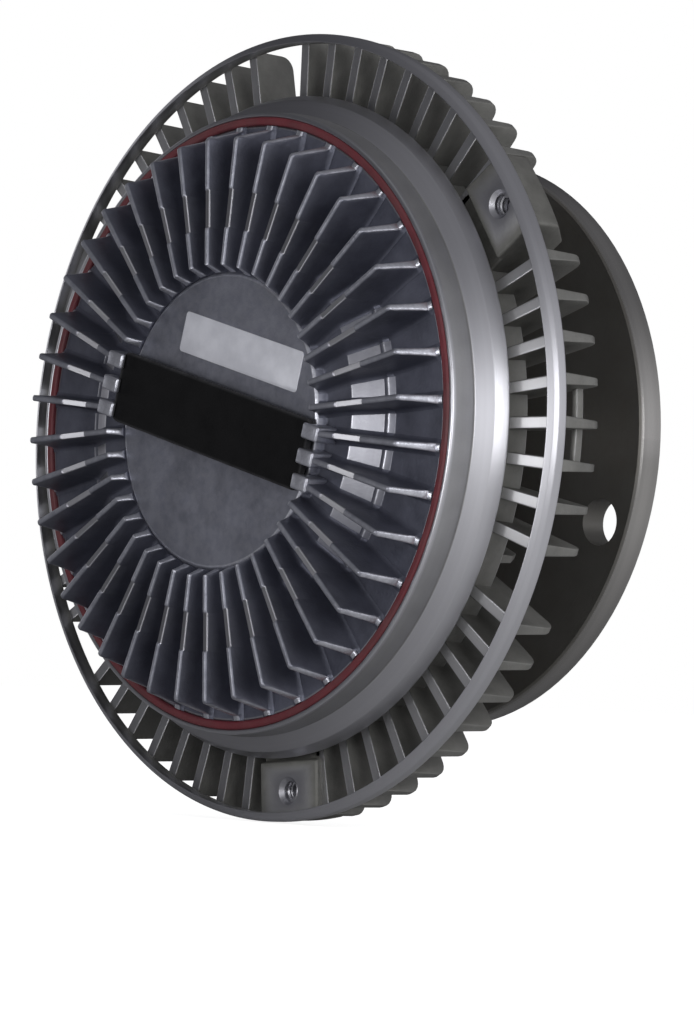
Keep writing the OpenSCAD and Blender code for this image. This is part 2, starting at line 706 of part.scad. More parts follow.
// Flat bimetal strip, its corners slightly cut
module bimetal_strip() {
    cut = 1.5;
    x = strip_l / 2;
    y = strip_w / 2;
    color(strip_black) place() rotate(strip_angle) translate([0, 0, strip_z]) linear_extrude(strip_t)
        polygon([[-x, -y + cut], [-x + cut, -y], [x - cut, -y], [x, -y + cut],
            [x, y - cut], [x - cut, y], [-x + cut, y], [-x, y - cut]]);
}

// Pin that carries the strip's bow to the valve lever, with a domed inner end
module control_pin() {
    low = lever_top_z + 2 * fit_gap;
    color(steel) place() turned([[0, low], [pin_r * 0.4, low], [pin_r, low + pin_r * 0.4],
        [pin_r, strip_z - fit_gap - 0.5], [pin_r - 0.5, strip_z - fit_gap], [0, strip_z - fit_gap]]);
}

module pin_seal() {
    color(rubber_black) place() translate([0, 0, roof_z + pin_seal_t / 2 + fit_gap]) rotate_extrude()
        translate([pin_bore_r + slide_gap + pin_seal_t / 2 - 2 * slide_gap, 0])
        circle(d = pin_seal_t - 2 * slide_gap, $fn = 32);
}

// Plate between reservoir and working chamber, with the valve port
module separator_plate() {
    color(steel) place() difference() {
        translate([0, 0, floor_z]) cylinder(r = plate_r, h = plate_t);
        rotate(lever_angle) {
            translate([port_x, 0, floor_z - eps]) cylinder(d = port_d, h = plate_t + 2 * eps);
            translate([lever_rivet_x, 0, floor_z - eps])
                cylinder(r = rivet_r + fit_gap, h = plate_t + 2 * eps, $fn = 32);
        }
        around(plate_rivet_count) translate([plate_rivet_r, 0, floor_z - eps])
            cylinder(r = rivet_r + fit_gap, h = plate_t + 2 * eps, $fn = 32);
    }
}

module plate_rivets() {
    color(steel) place() around(plate_rivet_count) translate([plate_rivet_r, 0, floor_z - fit_gap]) {
        translate([0, 0, -rivet_head_t]) cylinder(r = rivet_r * 1.5, h = rivet_head_t, $fn = 32);
        translate([0, 0, -eps]) cylinder(r = rivet_r, h = plate_t + rivet_depth, $fn = 32);
    }
}

// Spring lever over the valve port, with a rolled root that it bends about
module valve_lever() {
    root_r = lever_t / 2;
    color(steel) place() rotate(lever_angle) translate([0, 0, lever_z]) difference() {
        union() {
            linear_extrude(lever_t) {
                translate([-lever_root_x, -lever_w / 2]) square([lever_root_x + port_x, lever_w]);
                translate([port_x, 0]) circle(d = port_d * 1.6);
            }
            translate([-lever_root_x, lever_w / 2, root_r]) rotate([90, 0, 0])
                cylinder(r = root_r, h = lever_w, $fn = 32);
        }
        translate([lever_rivet_x, 0, -eps]) cylinder(r = rivet_r + run_gap, h = lever_t + 2 * eps, $fn = 32);
    }
}

module lever_rivet() {
    foot = floor_z - fit_gap;
    head = lever_top_z + run_gap;
    color(steel) place() rotate(lever_angle) translate([lever_rivet_x, 0, 0]) {
        translate([0, 0, foot - rivet_head_t]) cylinder(r = rivet_r * 1.5, h = rivet_head_t, $fn = 32);
        translate([0, 0, foot - eps]) cylinder(r = rivet_r, h = head - foot + 2 * eps, $fn = 32);
        translate([0, 0, head]) cylinder(r1 = rivet_r * 1.6, r2 = rivet_r, h = rivet_head_t, $fn = 32);
    }
}

// Dam over the rotor's rim, which pumps fluid back to the reservoir
module pump_body() {
    low = web_top_z + land_gap;
    high = floor_z - fit_gap;
    color(brass) place() rotate(lever_angle) difference() {
        rotate(-pump_arc / 2) rotate_extrude(angle = pump_arc)
            polygon([[pump_in_r, low], [pump_out_r, low], [pump_out_r, high], [pump_in_r, high]]);
        for (a = [-0.3, 0.3]) rotate(a * pump_arc) translate([pump_rivet_r, 0, low - eps]) {
            cylinder(r = rivet_r + fit_gap, h = land_h + 2 * eps, $fn = 32);
            cylinder(r = rivet_r * 1.6, h = rivet_head_t + 2 * eps, $fn = 32);
        }
    }
}

module pump_rivets() {
    low = web_top_z + land_gap + eps;
    color(steel) place() rotate(lever_angle) for (a = [-0.3, 0.3]) rotate(a * pump_arc)
        translate([pump_rivet_r, 0, low]) {
            cylinder(r = rivet_r * 1.5, h = rivet_head_t, $fn = 32);
            cylinder(r = rivet_r, h = floor_z - low + rivet_depth - fit_gap, $fn = 32);
        }
}

drive_shaft();
dust_slinger();
bearing_inner_race();
bearing_outer_race();
bearing_balls();
cage_front();
cage_rear();
cage_rivets();
bearing_shields();
shaft_circlip();
hub_circlip();
rotor();
rotor_circlip();
body();
front_cover();
cover_seal();
bimetal_strip();
control_pin();
pin_seal();
separator_plate();
plate_rivets();
valve_lever();
lever_rivet();
pump_body();
pump_rivets();
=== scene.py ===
import bpy, bmesh, json
from math import sin, cos, tan, radians, pi, sqrt, hypot
from mathutils import Vector, Matrix

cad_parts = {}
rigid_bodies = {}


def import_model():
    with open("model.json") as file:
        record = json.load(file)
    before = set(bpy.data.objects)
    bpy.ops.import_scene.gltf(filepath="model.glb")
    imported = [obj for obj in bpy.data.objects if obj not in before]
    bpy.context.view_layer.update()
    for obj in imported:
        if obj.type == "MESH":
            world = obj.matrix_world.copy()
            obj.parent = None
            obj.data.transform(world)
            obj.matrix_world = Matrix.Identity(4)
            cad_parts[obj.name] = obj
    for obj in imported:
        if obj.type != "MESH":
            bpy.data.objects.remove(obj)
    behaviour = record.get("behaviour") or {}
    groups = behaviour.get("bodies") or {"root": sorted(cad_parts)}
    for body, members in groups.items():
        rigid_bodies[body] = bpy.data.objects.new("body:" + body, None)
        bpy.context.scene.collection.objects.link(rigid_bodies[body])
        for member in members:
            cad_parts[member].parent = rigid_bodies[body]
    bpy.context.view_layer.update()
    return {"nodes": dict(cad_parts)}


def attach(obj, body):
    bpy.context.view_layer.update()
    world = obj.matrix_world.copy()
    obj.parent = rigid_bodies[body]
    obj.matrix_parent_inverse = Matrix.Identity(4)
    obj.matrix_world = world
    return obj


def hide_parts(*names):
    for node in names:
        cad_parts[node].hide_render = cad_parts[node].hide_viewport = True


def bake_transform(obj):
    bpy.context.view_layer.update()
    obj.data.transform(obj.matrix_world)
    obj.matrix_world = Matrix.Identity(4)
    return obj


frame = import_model()

mm = 0.001
sharpAngle = radians(34)
scene = bpy.context.scene


# the clutch turns about Y: h is the height in front of the mounting face, a the angle from +X
def onAxis(r, h, a):
    return Vector((r * cos(a), -h, r * sin(a))) * mm


# a point of the front face: x along a line at the angle turn, y across that line
def onFace(x, y, h, turn):
    return Vector((x * cos(turn) - y * sin(turn), -h, x * sin(turn) + y * cos(turn))) * mm


# six points of a quarter circle about (x, y), from the angle start in degrees
def quarterArc(x, y, r, start):
    angles = [radians(start + 18 * k) for k in range(6)]
    return [(x + r * cos(a), y + r * sin(a)) for a in angles]


def addObject(name, mesh):
    piece = bpy.data.objects.new(name, mesh)
    scene.collection.objects.link(piece)
    return piece


def coat(piece, material):
    piece.data.materials.clear()
    piece.data.materials.append(material)


def smoothShade(mesh):
    for face in mesh.polygons:
        face.use_smooth = True
    mesh.set_sharp_from_angle(angle=sharpAngle)


def finishMesh(name, mesher, merge=0.0):
    if merge:
        bmesh.ops.remove_doubles(mesher, verts=mesher.verts, dist=merge * mm)
    bmesh.ops.recalc_face_normals(mesher, faces=mesher.faces)
    mesh = bpy.data.meshes.new(name)
    mesher.to_mesh(mesh)
    mesher.free()
    smoothShade(mesh)
    return mesh


# how far each vertex is rubbed bright and how far the lathe has cut it
def wearLayers(mesher):
    return mesher.verts.layers.float.new("rub"), mesher.verts.layers.float.new("turned")


# joins rows of vertices, each a closed loop, into a band, with a face over each end
def bandFaces(mesher, rows, ends=True):
    count = len(rows[0])
    for a, b in zip(rows, rows[1:]):
        for i in range(count):
            mesher.faces.new((a[i], a[(i + 1) % count], b[(i + 1) % count], b[i]))
    if ends:
        mesher.faces.new(rows[0])
        mesher.faces.new(rows[-1])


# corners are (r, h, fillet, turned): turned is 0 on cast skin, 0.8 where the lathe has cut, 1 where it has faced;
# fillets on outside corners come back marked as rubbed
def roundedProfile(corners, steps=4):
    points = []
    count = len(corners)
    area = sum(corners[i][0] * corners[(i + 1) % count][1] - corners[(i + 1) % count][0] * corners[i][1]
               for i in range(count))
    for i, (r, h, fillet, turned) in enumerate(corners):
        here = Vector((r, h))
        before = Vector(corners[i - 1][:2]) - here
        after = Vector(corners[(i + 1) % count][:2]) - here
        outside = (before.x * after.y - before.y * after.x) * area < 0
        if not fillet:
            points.append((r, h, 0.0, turned))
            continue
        reach = min(fillet, before.length * 0.48, after.length * 0.48)
        first, last = here + before.normalized() * reach, here + after.normalized() * reach
        for k in range(steps + 1):
            t = k / steps
            spot = first * (1 - t) ** 2 + here * 2 * t * (1 - t) + last * t ** 2
            points.append((spot.x, spot.y, 1.0 if outside and 0 < k < steps else 0.25 * outside, turned))
    return points


def latheMesh(name, profile, segments):
    mesher = bmesh.new()
    rub, cut = wearLayers(mesher)
    rings = []
    for k in range(segments):
        a = 2 * pi * k / segments
        ring = []
        for r, h, worn, turned in profile:
            vert = mesher.verts.new(onAxis(r, h, a))
            vert[rub] = worn
            vert[cut] = turned
            ring.append(vert)
        rings.append(ring)
    bandFaces(mesher, rings + rings[:1], ends=False)
    return finishMesh(name, mesher)


# evaluates the modifiers into a plain mesh and drops them
def settle(piece):
    depsgraph = bpy.context.evaluated_depsgraph_get()
    mesh = bpy.data.meshes.new_from_object(piece.evaluated_get(depsgraph))
    piece.modifiers.clear()
    piece.data = mesh
    return piece


def joinPieces(name, pieces, material):
    mesher = bmesh.new()
    for piece in pieces:
        mesher.from_mesh(piece.data)
    mesh = bpy.data.meshes.new(name)
    mesher.to_mesh(mesh)
    mesher.free()
    for piece in pieces:
        bpy.data.objects.remove(piece)
    smoothShade(mesh)
    joined = addObject(name, mesh)
    coat(joined, material)
    return joined


# node helpers
class NodeBench:
    def __init__(self, tree):
        self.tree = tree

    def add(self, kind, **settings):
        node = self.tree.nodes.new(kind)
        for key, value in settings.items():
            setattr(node, key, value)
        return node

    def link(self, a, b):
        self.tree.links.new(a, b)

    def feed(self, socket, value):
        if isinstance(value, bpy.types.NodeSocket):
            self.link(value, socket)
        else:
            socket.default_value = value

    def math(self, operation, a, b=0.0, c=None, clamp=False):
        node = self.add("ShaderNodeMath", operation=operation, use_clamp=clamp)
        self.feed(node.inputs[0], a)
        self.feed(node.inputs[1], b)
        if c is not None:
            self.feed(node.inputs[2], c)
        return node.outputs[0]

    def ramp(self, value, low, high, outLow=0.0, outHigh=1.0):
        node = self.add("ShaderNodeMapRange", clamp=True, interpolation_type="SMOOTHSTEP")
        for socket, number in zip(node.inputs, (value, low, high, outLow, outHigh)):
            self.feed(socket, number)
        return node.outputs[0]

    # sockets are the places of the factor, a, b and the result for that type of data
    def mix(self, dataType, sockets, factor, a, b):
        node = self.add("ShaderNodeMix", data_type=dataType)
        for socket, value in zip(sockets, (factor, a, b)):
            self.feed(node.inputs[socket], value)
        return node.outputs[sockets[3]]

    def mixColour(self, factor, a, b):
        return self.mix("RGBA", (0, 6, 7, 2), factor, a, b)

    def mixValue(self, factor, a, b):
        return self.mix("FLOAT", (0, 2, 3, 0), factor, a, b)

    def noise(self, vector, scale, detail=3.0, rough=0.55):
        node = self.add("ShaderNodeTexNoise")
        for key, value in (("Vector", vector), ("Scale", scale), ("Detail", detail), ("Roughness", rough)):
            self.feed(node.inputs[key], value)
        return node.outputs["Fac"]


# a node group with its named inputs (label, kind, start) and outputs (label, kind)
def openGroup(name, kind, inputs, outputs):
    tree = bpy.data.node_groups.new(name, kind)
    for label, socketKind, start in inputs:
        socket = tree.interface.new_socket(label, in_out="INPUT", socket_type=socketKind)
        if start is not None:
            socket.default_value = start
    for label, socketKind in outputs:
        tree.interface.new_socket(label, in_out="OUTPUT", socket_type=socketKind)
    bench = NodeBench(tree)
    return tree, bench, bench.add("NodeGroupInput").outputs, bench.add("NodeGroupOutput").inputs


# a shader group works on a vector; its other inputs and its outputs are values
def shaderGroup(name, inputs, outputs):
    values = [(label, "NodeSocketFloat", start) for label, start in inputs]
    return openGroup(name, "ShaderNodeTree", [("Vector", "NodeSocketVector", None)] + values,
                     [(label, "NodeSocketFloat") for label in outputs])


# sand-like skin of a die casting: soft cloud for the colour, fine grain for the height
def makeCastSkin():
    tree, bench, given, put = shaderGroup(
        "castSkin", [("Cloud Scale", 60.0), ("Grain Scale", 900.0)], ["Cloud", "Grain", "Flow"])
    cloud = bench.noise(given["Vector"], given["Cloud Scale"], 5.0, 0.6)
    grain = bench.noise(given["Vector"], given["Grain Scale"], 2.0, 0.5)
    flow = bench.noise(given["Vector"], 22.0, 2.0, 0.4)
    bench.link(cloud, put["Cloud"])
    bench.link(grain, put["Grain"])
    bench.link(bench.ramp(flow, 0.42, 0.66), put["Flow"])
    return tree


# rings left by a lathe tool about the Y axis
def makeToolRings():
    tree, bench, given, put = shaderGroup("toolRings", [("Rings", 2600.0)], ["Lines", "Bands", "Radius"])
    split = bench.add("ShaderNodeSeparateXYZ")
    bench.link(given["Vector"], split.inputs[0])
    radius = bench.math("SQRT", bench.math("ADD", bench.math("MULTIPLY", split.outputs[0], split.outputs[0]),
                                           bench.math("MULTIPLY", split.outputs[2], split.outputs[2])))
    track = bench.math("ADD", radius, split.outputs[1])
    spot = bench.add("ShaderNodeCombineXYZ")
    bench.link(track, spot.inputs[0])
    fine = bench.noise(spot.outputs[0], given["Rings"], 2.0, 0.6)
    broad = bench.noise(spot.outputs[0], bench.math("MULTIPLY", given["Rings"], 0.12), 2.0, 0.5)
    bench.link(fine, put["Lines"])
    bench.link(broad, put["Bands"])
    bench.link(radius, put["Radius"])
    return tree


# where edges are rubbed bright, broken up by noise
def makeRubbedEdge():
    tree, bench, given, put = shaderGroup("rubbedEdge", [("Rub", 0.0), ("Break Up", 0.5)], ["Mask"])
    patch = bench.noise(given["Vector"], 240.0, 4.0, 0.65)
    worn = bench.ramp(patch, 0.25, 0.7)
    low = bench.math("SUBTRACT", 1.0, given["Break Up"])
    factor = bench.math("ADD", low, bench.math("MULTIPLY", worn, given["Break Up"]))
    bench.link(bench.math("MULTIPLY", given["Rub"], factor, clamp=True), put["Mask"])
    return tree


# patchy thin film of dust and oil
def makeShopFilm():
    tree, bench, given, put = shaderGroup("shopFilm", [("Amount", 0.5)], ["Mask"])
    film = bench.noise(given["Vector"], 38.0, 6.0, 0.7)
    bench.link(bench.math("MULTIPLY", bench.ramp(film, 0.35, 0.75), given["Amount"]), put["Mask"])
    return tree


castSkin, toolRings = makeCastSkin(), makeToolRings()
rubbedEdge, shopFilm = makeRubbedEdge(), makeShopFilm()
print("shader groups built")


def startMaterial(name):
    material = bpy.data.materials.new(name)
    material.use_nodes = True
    tree = material.node_tree
    shader = tree.nodes["Principled BSDF"]
    bench = NodeBench(tree)
    place = bench.add("ShaderNodeTexCoord").outputs["Object"]
    return material, bench, shader, place


def useGroup(bench, group, place, **values):
    node = bench.add("ShaderNodeGroup", node_tree=group)
    bench.link(place, node.inputs["Vector"])
    for key, value in values.items():
        bench.feed(node.inputs[key], value)
    return node


def bumpFrom(bench, shader, height, strength, distance):
    bump = bench.add("ShaderNodeBump")
    bump.inputs["Strength"].default_value = strength
    bump.inputs["Distance"].default_value = distance
    bench.link(height, bump.inputs["Height"])
    bench.link(bump.outputs["Normal"], shader.inputs["Normal"])


def readAttribute(bench, name):
    return bench.add("ShaderNodeAttribute", attribute_name=name).outputs["Fac"]


# tool marks run round the axis, so highlights spread across them
def latheMarks(bench, shader, amount):
    bench.feed(shader.inputs["Anisotropic"], amount)
    shader.inputs["Anisotropic Rotation"].default_value = 0.25
    tangent = bench.add("ShaderNodeTangent", direction_type="RADIAL", axis="Y")
    bench.link(tangent.outputs[0], shader.inputs["Tangent"])


# die-cast aluminium; where the mesh says turned, the skin is cut away by the lathe
def makeCasting(name, look):
    material, bench, shader, place = startMaterial(name)
    skin = useGroup(bench, castSkin, place, **{"Cloud Scale": look["cloud"], "Grain Scale": look["grain"]})
    rings = useGroup(bench, toolRings, place, Rings=look["rings"])
    film = useGroup(bench, shopFilm, place, Amount=look["film"])
    edge = useGroup(bench, rubbedEdge, place, Rub=readAttribute(bench, "rub"))
    lathe = readAttribute(bench, "turned")
    turned = bench.ramp(lathe, 0.0, 0.8)
    faced = bench.ramp(lathe, 0.82, 0.98)
    cast = bench.mixColour(bench.ramp(skin.outputs["Cloud"], 0.3, 0.72), look["dark"], look["light"])
    cast = bench.mixColour(bench.math("MULTIPLY", skin.outputs["Flow"], 0.5), cast, look["flow"])
    cast = bench.mixColour(film.outputs["Mask"], cast, look["filmColour"])
    cast = bench.mixColour(edge.outputs["Mask"], cast, look["edge"])
    machined = bench.mixColour(rings.outputs["Bands"], look["cutDark"], look["cutLight"])
    machined = bench.mixColour(faced, machined, look["faced"])
    bench.link(bench.mixColour(turned, cast, machined), shader.inputs["Base Color"])
    castRough = bench.ramp(skin.outputs["Cloud"], 0.25, 0.75, look["rough"] - 0.08, look["rough"] + 0.08)
    castRough = bench.mixValue(edge.outputs["Mask"], castRough, look["rough"] - 0.15)
    cutRough = bench.ramp(rings.outputs["Lines"], 0.3, 0.7, look["cutRough"] - 0.06, look["cutRough"] + 0.06)
    cutRough = bench.math("ADD", cutRough, bench.math("MULTIPLY", faced, 0.12))
    bench.link(bench.mixValue(turned, castRough, cutRough), shader.inputs["Roughness"])
    castMetal = bench.mixValue(edge.outputs["Mask"], look["metal"], 0.95)
    bench.link(bench.mixValue(turned, castMetal, 1.0), shader.inputs["Metallic"])
    latheMarks(bench, shader, bench.math("MULTIPLY", turned, bench.mixValue(faced, 0.5, look["streak"])))
    height = bench.mixValue(turned, skin.outputs["Grain"], bench.math("MULTIPLY", rings.outputs["Lines"], 0.15))
    bumpFrom(bench, shader, height, look["bump"], 0.0004)
    return material


def makePlainMetal(name, dark, light, rough):
    material, bench, shader, place = startMaterial(name)
    lathe = useGroup(bench, toolRings, place, Rings=2200.0)
    film = useGroup(bench, shopFilm, place, Amount=0.25)
    tone = bench.mixColour(lathe.outputs["Bands"], dark, light)
    bench.link(bench.mixColour(film.outputs["Mask"], tone, tuple(c * 0.6 for c in dark[:3]) + (1,)),
               shader.inputs["Base Color"])
    bench.link(bench.ramp(lathe.outputs["Lines"], 0.3, 0.7, rough - 0.06, rough + 0.08), shader.inputs["Roughness"])
    shader.inputs["Metallic"].default_value = 1.0
    bumpFrom(bench, shader, lathe.outputs["Lines"], 0.12, 0.0003)
    return material


def makeSoft(name, dark, light, rough):
    material, bench, shader, place = startMaterial(name)
    skin = useGroup(bench, castSkin, place, **{"Cloud Scale": 90.0, "Grain Scale": 1400.0})
    film = useGroup(bench, shopFilm, place, Amount=0.35)
    tone = bench.mixColour(skin.outputs["Cloud"], dark, light)
    bench.link(bench.mixColour(film.outputs["Mask"], tone, (0.10, 0.09, 0.085, 1)), shader.inputs["Base Color"])
    bench.link(bench.ramp(skin.outputs["Cloud"], 0.3, 0.7, rough - 0.08, rough + 0.08), shader.inputs["Roughness"])
    bumpFrom(bench, shader, skin.outputs["Grain"], 0.25, 0.0003)
    return material


coverLook = {"cloud": 70.0, "grain": 1100.0, "rings": 2600.0, "film": 0.45, "metal": 0.55, "rough": 0.44, "bump": 0.22,
             "dark": (0.100, 0.106, 0.144, 1), "light": (0.155, 0.162, 0.212, 1), "flow": (0.188, 0.195, 0.246, 1),
             "filmColour": (0.060, 0.062, 0.080, 1), "edge": (0.72, 0.73, 0.80, 1),
             "cutDark": (0.42, 0.42, 0.46, 1), "cutLight": (0.56, 0.56, 0.60, 1), "cutRough": 0.30, "streak": 0.95,
             "faced": (0.62, 0.62, 0.66, 1)}
bodyLook = dict(coverLook, film=0.6, metal=0.5, rough=0.55,
                dark=(0.170, 0.169, 0.158, 1), light=(0.262, 0.260, 0.243, 1), flow=(0.29, 0.287, 0.270, 1),
                filmColour=(0.098, 0.096, 0.090, 1), edge=(0.40, 0.40, 0.40, 1),
                cutDark=(0.50, 0.50, 0.53, 1), cutLight=(0.58, 0.58, 0.62, 1), cutRough=0.34,
                faced=(0.82, 0.82, 0.84, 1))
coverMetal = makeCasting("castCover", coverLook)
bodyMetal = makeCasting("castBody", bodyLook)
turnedMetal = makePlainMetal("turnedAluminium", (0.45, 0.45, 0.48, 1), (0.60, 0.60, 0.63, 1), 0.32)
groundSteel = makePlainMetal("groundSteel", (0.42, 0.42, 0.43, 1), (0.58, 0.58, 0.58, 1), 0.2)
pressedSteel = makePlainMetal("pressedSteel", (0.30, 0.30, 0.30, 1), (0.45, 0.45, 0.44, 1), 0.36)
cageBrass = makePlainMetal("cageBrass", (0.46, 0.32, 0.12, 1), (0.62, 0.46, 0.20, 1), 0.34)
redBead = makeSoft("redBead", (0.105, 0.012, 0.020, 1), (0.215, 0.030, 0.042, 1), 0.5)
blackRubber = makeSoft("blackRubber", (0.010, 0.010, 0.010, 1), (0.022, 0.022, 0.022, 1), 0.6)


# black forging whose rim and bevels are turned bright
def makeFlangeSteel(look):
    material, bench, shader, place = startMaterial("flangeSteel")
    rings = useGroup(bench, toolRings, place, Rings=1700.0)
    skin = useGroup(bench, castSkin, place, **{"Cloud Scale": 48.0, "Grain Scale": 700.0})
    film = useGroup(bench, shopFilm, place, Amount=0.5)
    bright = bench.ramp(rings.outputs["Radius"], look["rim"] - 0.0008, look["rim"] - 0.0003)
    face = bench.mixColour(skin.outputs["Cloud"], look["dark"], look["light"])
    face = bench.mixColour(film.outputs["Mask"], face, look["rust"])
    rim = bench.mixColour(rings.outputs["Bands"], look["rimDark"], look["rimLight"])
    bench.link(bench.mixColour(bright, face, rim), shader.inputs["Base Color"])
    faceRough = bench.ramp(rings.outputs["Lines"], 0.3, 0.7, 0.30, 0.44)
    bench.link(bench.mixValue(bright, faceRough, 0.24), shader.inputs["Roughness"])
    bench.link(bench.mixValue(bright, 0.5, 1.0), shader.inputs["Metallic"])
    latheMarks(bench, shader, 0.7)
    bumpFrom(bench, shader, rings.outputs["Lines"], 0.16, 0.0004)
    return material


flangeLook = {"rim": 0.0965, "dark": (0.125, 0.121, 0.112, 1), "light": (0.190, 0.185, 0.172, 1),
              "rust": (0.125, 0.112, 0.094, 1), "rimDark": (0.24, 0.235, 0.23, 1), "rimLight": (0.42, 0.41, 0.40, 1)}
flangeSteel = makeFlangeSteel(flangeLook)


# black oxide on the strip, thinned to bare metal along its edges
def makeStripBlack():
    material, bench, shader, place = startMaterial("stripBlack")
    skin = useGroup(bench, castSkin, place, **{"Cloud Scale": 130.0, "Grain Scale": 1600.0})
    edge = useGroup(bench, rubbedEdge, place, Rub=readAttribute(bench, "rub"))
    tone = bench.mixColour(skin.outputs["Cloud"], (0.004, 0.004, 0.0045, 1), (0.013, 0.013, 0.014, 1))
    worn = bench.math("MULTIPLY", edge.outputs["Mask"], 0.35)
    bench.link(bench.mixColour(worn, tone, (0.16, 0.16, 0.17, 1)), shader.inputs["Base Color"])
    bench.link(bench.ramp(skin.outputs["Cloud"], 0.3, 0.7, 0.42, 0.6), shader.inputs["Roughness"])
    shader.inputs["Specular IOR Level"].default_value = 0.08
    bumpFrom(bench, shader, skin.outputs["Grain"], 0.2, 0.0003)
    return material


# bare label foil, slightly creased
def makeFoil():
    material, bench, shader, place = startMaterial("labelFoil")
    film = useGroup(bench, shopFilm, place, Amount=0.4)
    crease = bench.noise(place, 160.0, 3.0, 0.5)
    tone = bench.mixColour(bench.ramp(crease, 0.3, 0.7), (0.74, 0.75, 0.82, 1), (0.84, 0.85, 0.92, 1))
    tone = bench.mixColour(film.outputs["Mask"], tone, (0.60, 0.61, 0.67, 1))
    bench.link(tone, shader.inputs["Base Color"])
    bench.link(bench.ramp(crease, 0.3, 0.7, 0.34, 0.5), shader.inputs["Roughness"])
    shader.inputs["Metallic"].default_value = 0.15
    bumpFrom(bench, shader, crease, 0.25, 0.0004)
    return material


stripBlack, labelFoil = makeStripBlack(), makeFoil()
print("materials built:", len(bpy.data.materials))


# a geometry tree takes a mesh and a material besides its own inputs
def geometryTree(name, inputs):
    inputs = [("Geometry", "NodeSocketGeometry", None)] + inputs + [("Material", "NodeSocketMaterial", None)]
    return openGroup(name, "GeometryNodeTree", inputs, [("Geometry", "NodeSocketGeometry")])


# the shared end of both trees: real meshes with the material set
def paintOut(bench, given, put, geometry):
    real = bench.add("GeometryNodeRealizeInstances")
    bench.link(geometry, real.inputs[0])
    paint = bench.add("GeometryNodeSetMaterial")
    bench.link(real.outputs[0], paint.inputs["Geometry"])
    bench.link(given["Material"], paint.inputs["Material"])
    bench.link(paint.outputs[0], put[0])


# copies round the Y axis; places whose number in the period is a gap are left out, or alone kept
def makeRepeatAround():
    tree, bench, given, put = geometryTree("repeatAround", [
        ("Count", "NodeSocketInt", 40), ("First Angle", "NodeSocketFloat", 0.0), ("Period", "NodeSocketInt", 20),
        ("Gap A", "NodeSocketInt", -1), ("Gap B", "NodeSocketInt", -1), ("Gap C", "NodeSocketInt", -1),
        ("Only Gaps", "NodeSocketFloat", 0.0)])
    points = bench.add("GeometryNodePoints")
    bench.link(given["Count"], points.inputs["Count"])
    index = bench.add("GeometryNodeInputIndex").outputs[0]
    step = bench.math("DIVIDE", 2 * pi, given["Count"])
    angle = bench.math("ADD", given["First Angle"], bench.math("MULTIPLY", index, step))
    turn = bench.add("ShaderNodeCombineXYZ")
    bench.link(bench.math("MULTIPLY", angle, -1.0), turn.inputs[1])
    number = bench.math("MODULO", index, given["Period"])
    gaps = [bench.math("COMPARE", number, given["Gap " + letter], 0.1) for letter in "ABC"]
    gap = bench.math("MAXIMUM", gaps[0], bench.math("MAXIMUM", gaps[1], gaps[2]))
    keep = bench.math("COMPARE", gap, given["Only Gaps"], 0.1)
    spread = bench.add("GeometryNodeInstanceOnPoints")
    bench.link(points.outputs[0], spread.inputs["Points"])
    bench.link(keep, spread.inputs["Selection"])
    bench.link(given["Geometry"], spread.inputs["Instance"])
    bench.link(turn.outputs[0], spread.inputs["Rotation"])
    paintOut(bench, given, put, spread.outputs[0])
    return tree


# a thread: a three-sided section swept along a helix
def makeThreadCoil():
    tree, bench, given, put = geometryTree("threadCoil", [
        ("Turns", "NodeSocketFloat", 12.0), ("Radius", "NodeSocketFloat", 0.004), ("Pitch", "NodeSocketFloat", 0.00125),
        ("Crest", "NodeSocketFloat", 0.0005)])
    helix = bench.add("GeometryNodeCurveSpiral")
    helix.inputs["Resolution"].default_value = 24
    bench.link(given["Turns"], helix.inputs["Rotations"])
    bench.link(given["Radius"], helix.inputs["Start Radius"])
    bench.link(given["Radius"], helix.inputs["End Radius"])
    bench.link(bench.math("MULTIPLY", given["Turns"], given["Pitch"]), helix.inputs["Height"])
    section = bench.add("GeometryNodeCurvePrimitiveCircle")
    section.inputs["Resolution"].default_value = 3
    bench.link(given["Crest"], section.inputs["Radius"])
    sweep = bench.add("GeometryNodeCurveToMesh")
    sweep.inputs["Fill Caps"].default_value = True
    bench.link(helix.outputs[0], sweep.inputs["Curve"])
    bench.link(section.outputs[0], sweep.inputs["Profile Curve"])
    paintOut(bench, given, put, sweep.outputs[0])
    return tree


def runTree(piece, tree, **values):
    modifier = piece.modifiers.new(tree.name, "NODES")
    modifier.node_group = tree
    for item in tree.interface.items_tree:
        if item.in_out == "INPUT" and item.name in values:
            modifier[item.identifier] = values[item.name]
    return settle(piece)


repeatAround, threadCoil = makeRepeatAround(), makeThreadCoil()
print("geometry trees built")


# gaps are numbers within the period: left out, or alone kept where only is 1
def spreadAround(piece, count, first, material, gaps=(-1, -1, -1), only=0.0, period=20):
    return runTree(piece, repeatAround, Count=count, Period=period, Material=material, **{
        "First Angle": radians(first), "Gap A": gaps[0], "Gap B": gaps[1], "Gap C": gaps[2], "Only Gaps": only})


# front cover
cover = {"disc": 48.0, "discH": 107.8, "domeIn": 49.96, "domeOut": 61.96, "domeH": 105.0, "midIn": 71.7, "midOut": 73.7,
         "midH": 100.0, "rimIn": 75.2, "rimOut": 97.5, "rimH": 98.5, "noseH": 95.5, "noseIn": 98.9, "seat": 100.35,
         "floorH": 92.0, "rimLowH": 91.4, "chamber": 96.5, "plateSeat": 61.5, "plateH": 93.55, "reservoir": 56.5,
         "roofH": 101.5, "bossR": 8.0, "bossH": 98.0, "pinBore": 3.04, "fillet": 0.9, "smooth": 0.45, "segments": 240}
landPlan = {"first": 65.9, "pitch": 4.4, "thick": 1.6, "height": 5.0, "count": 5}


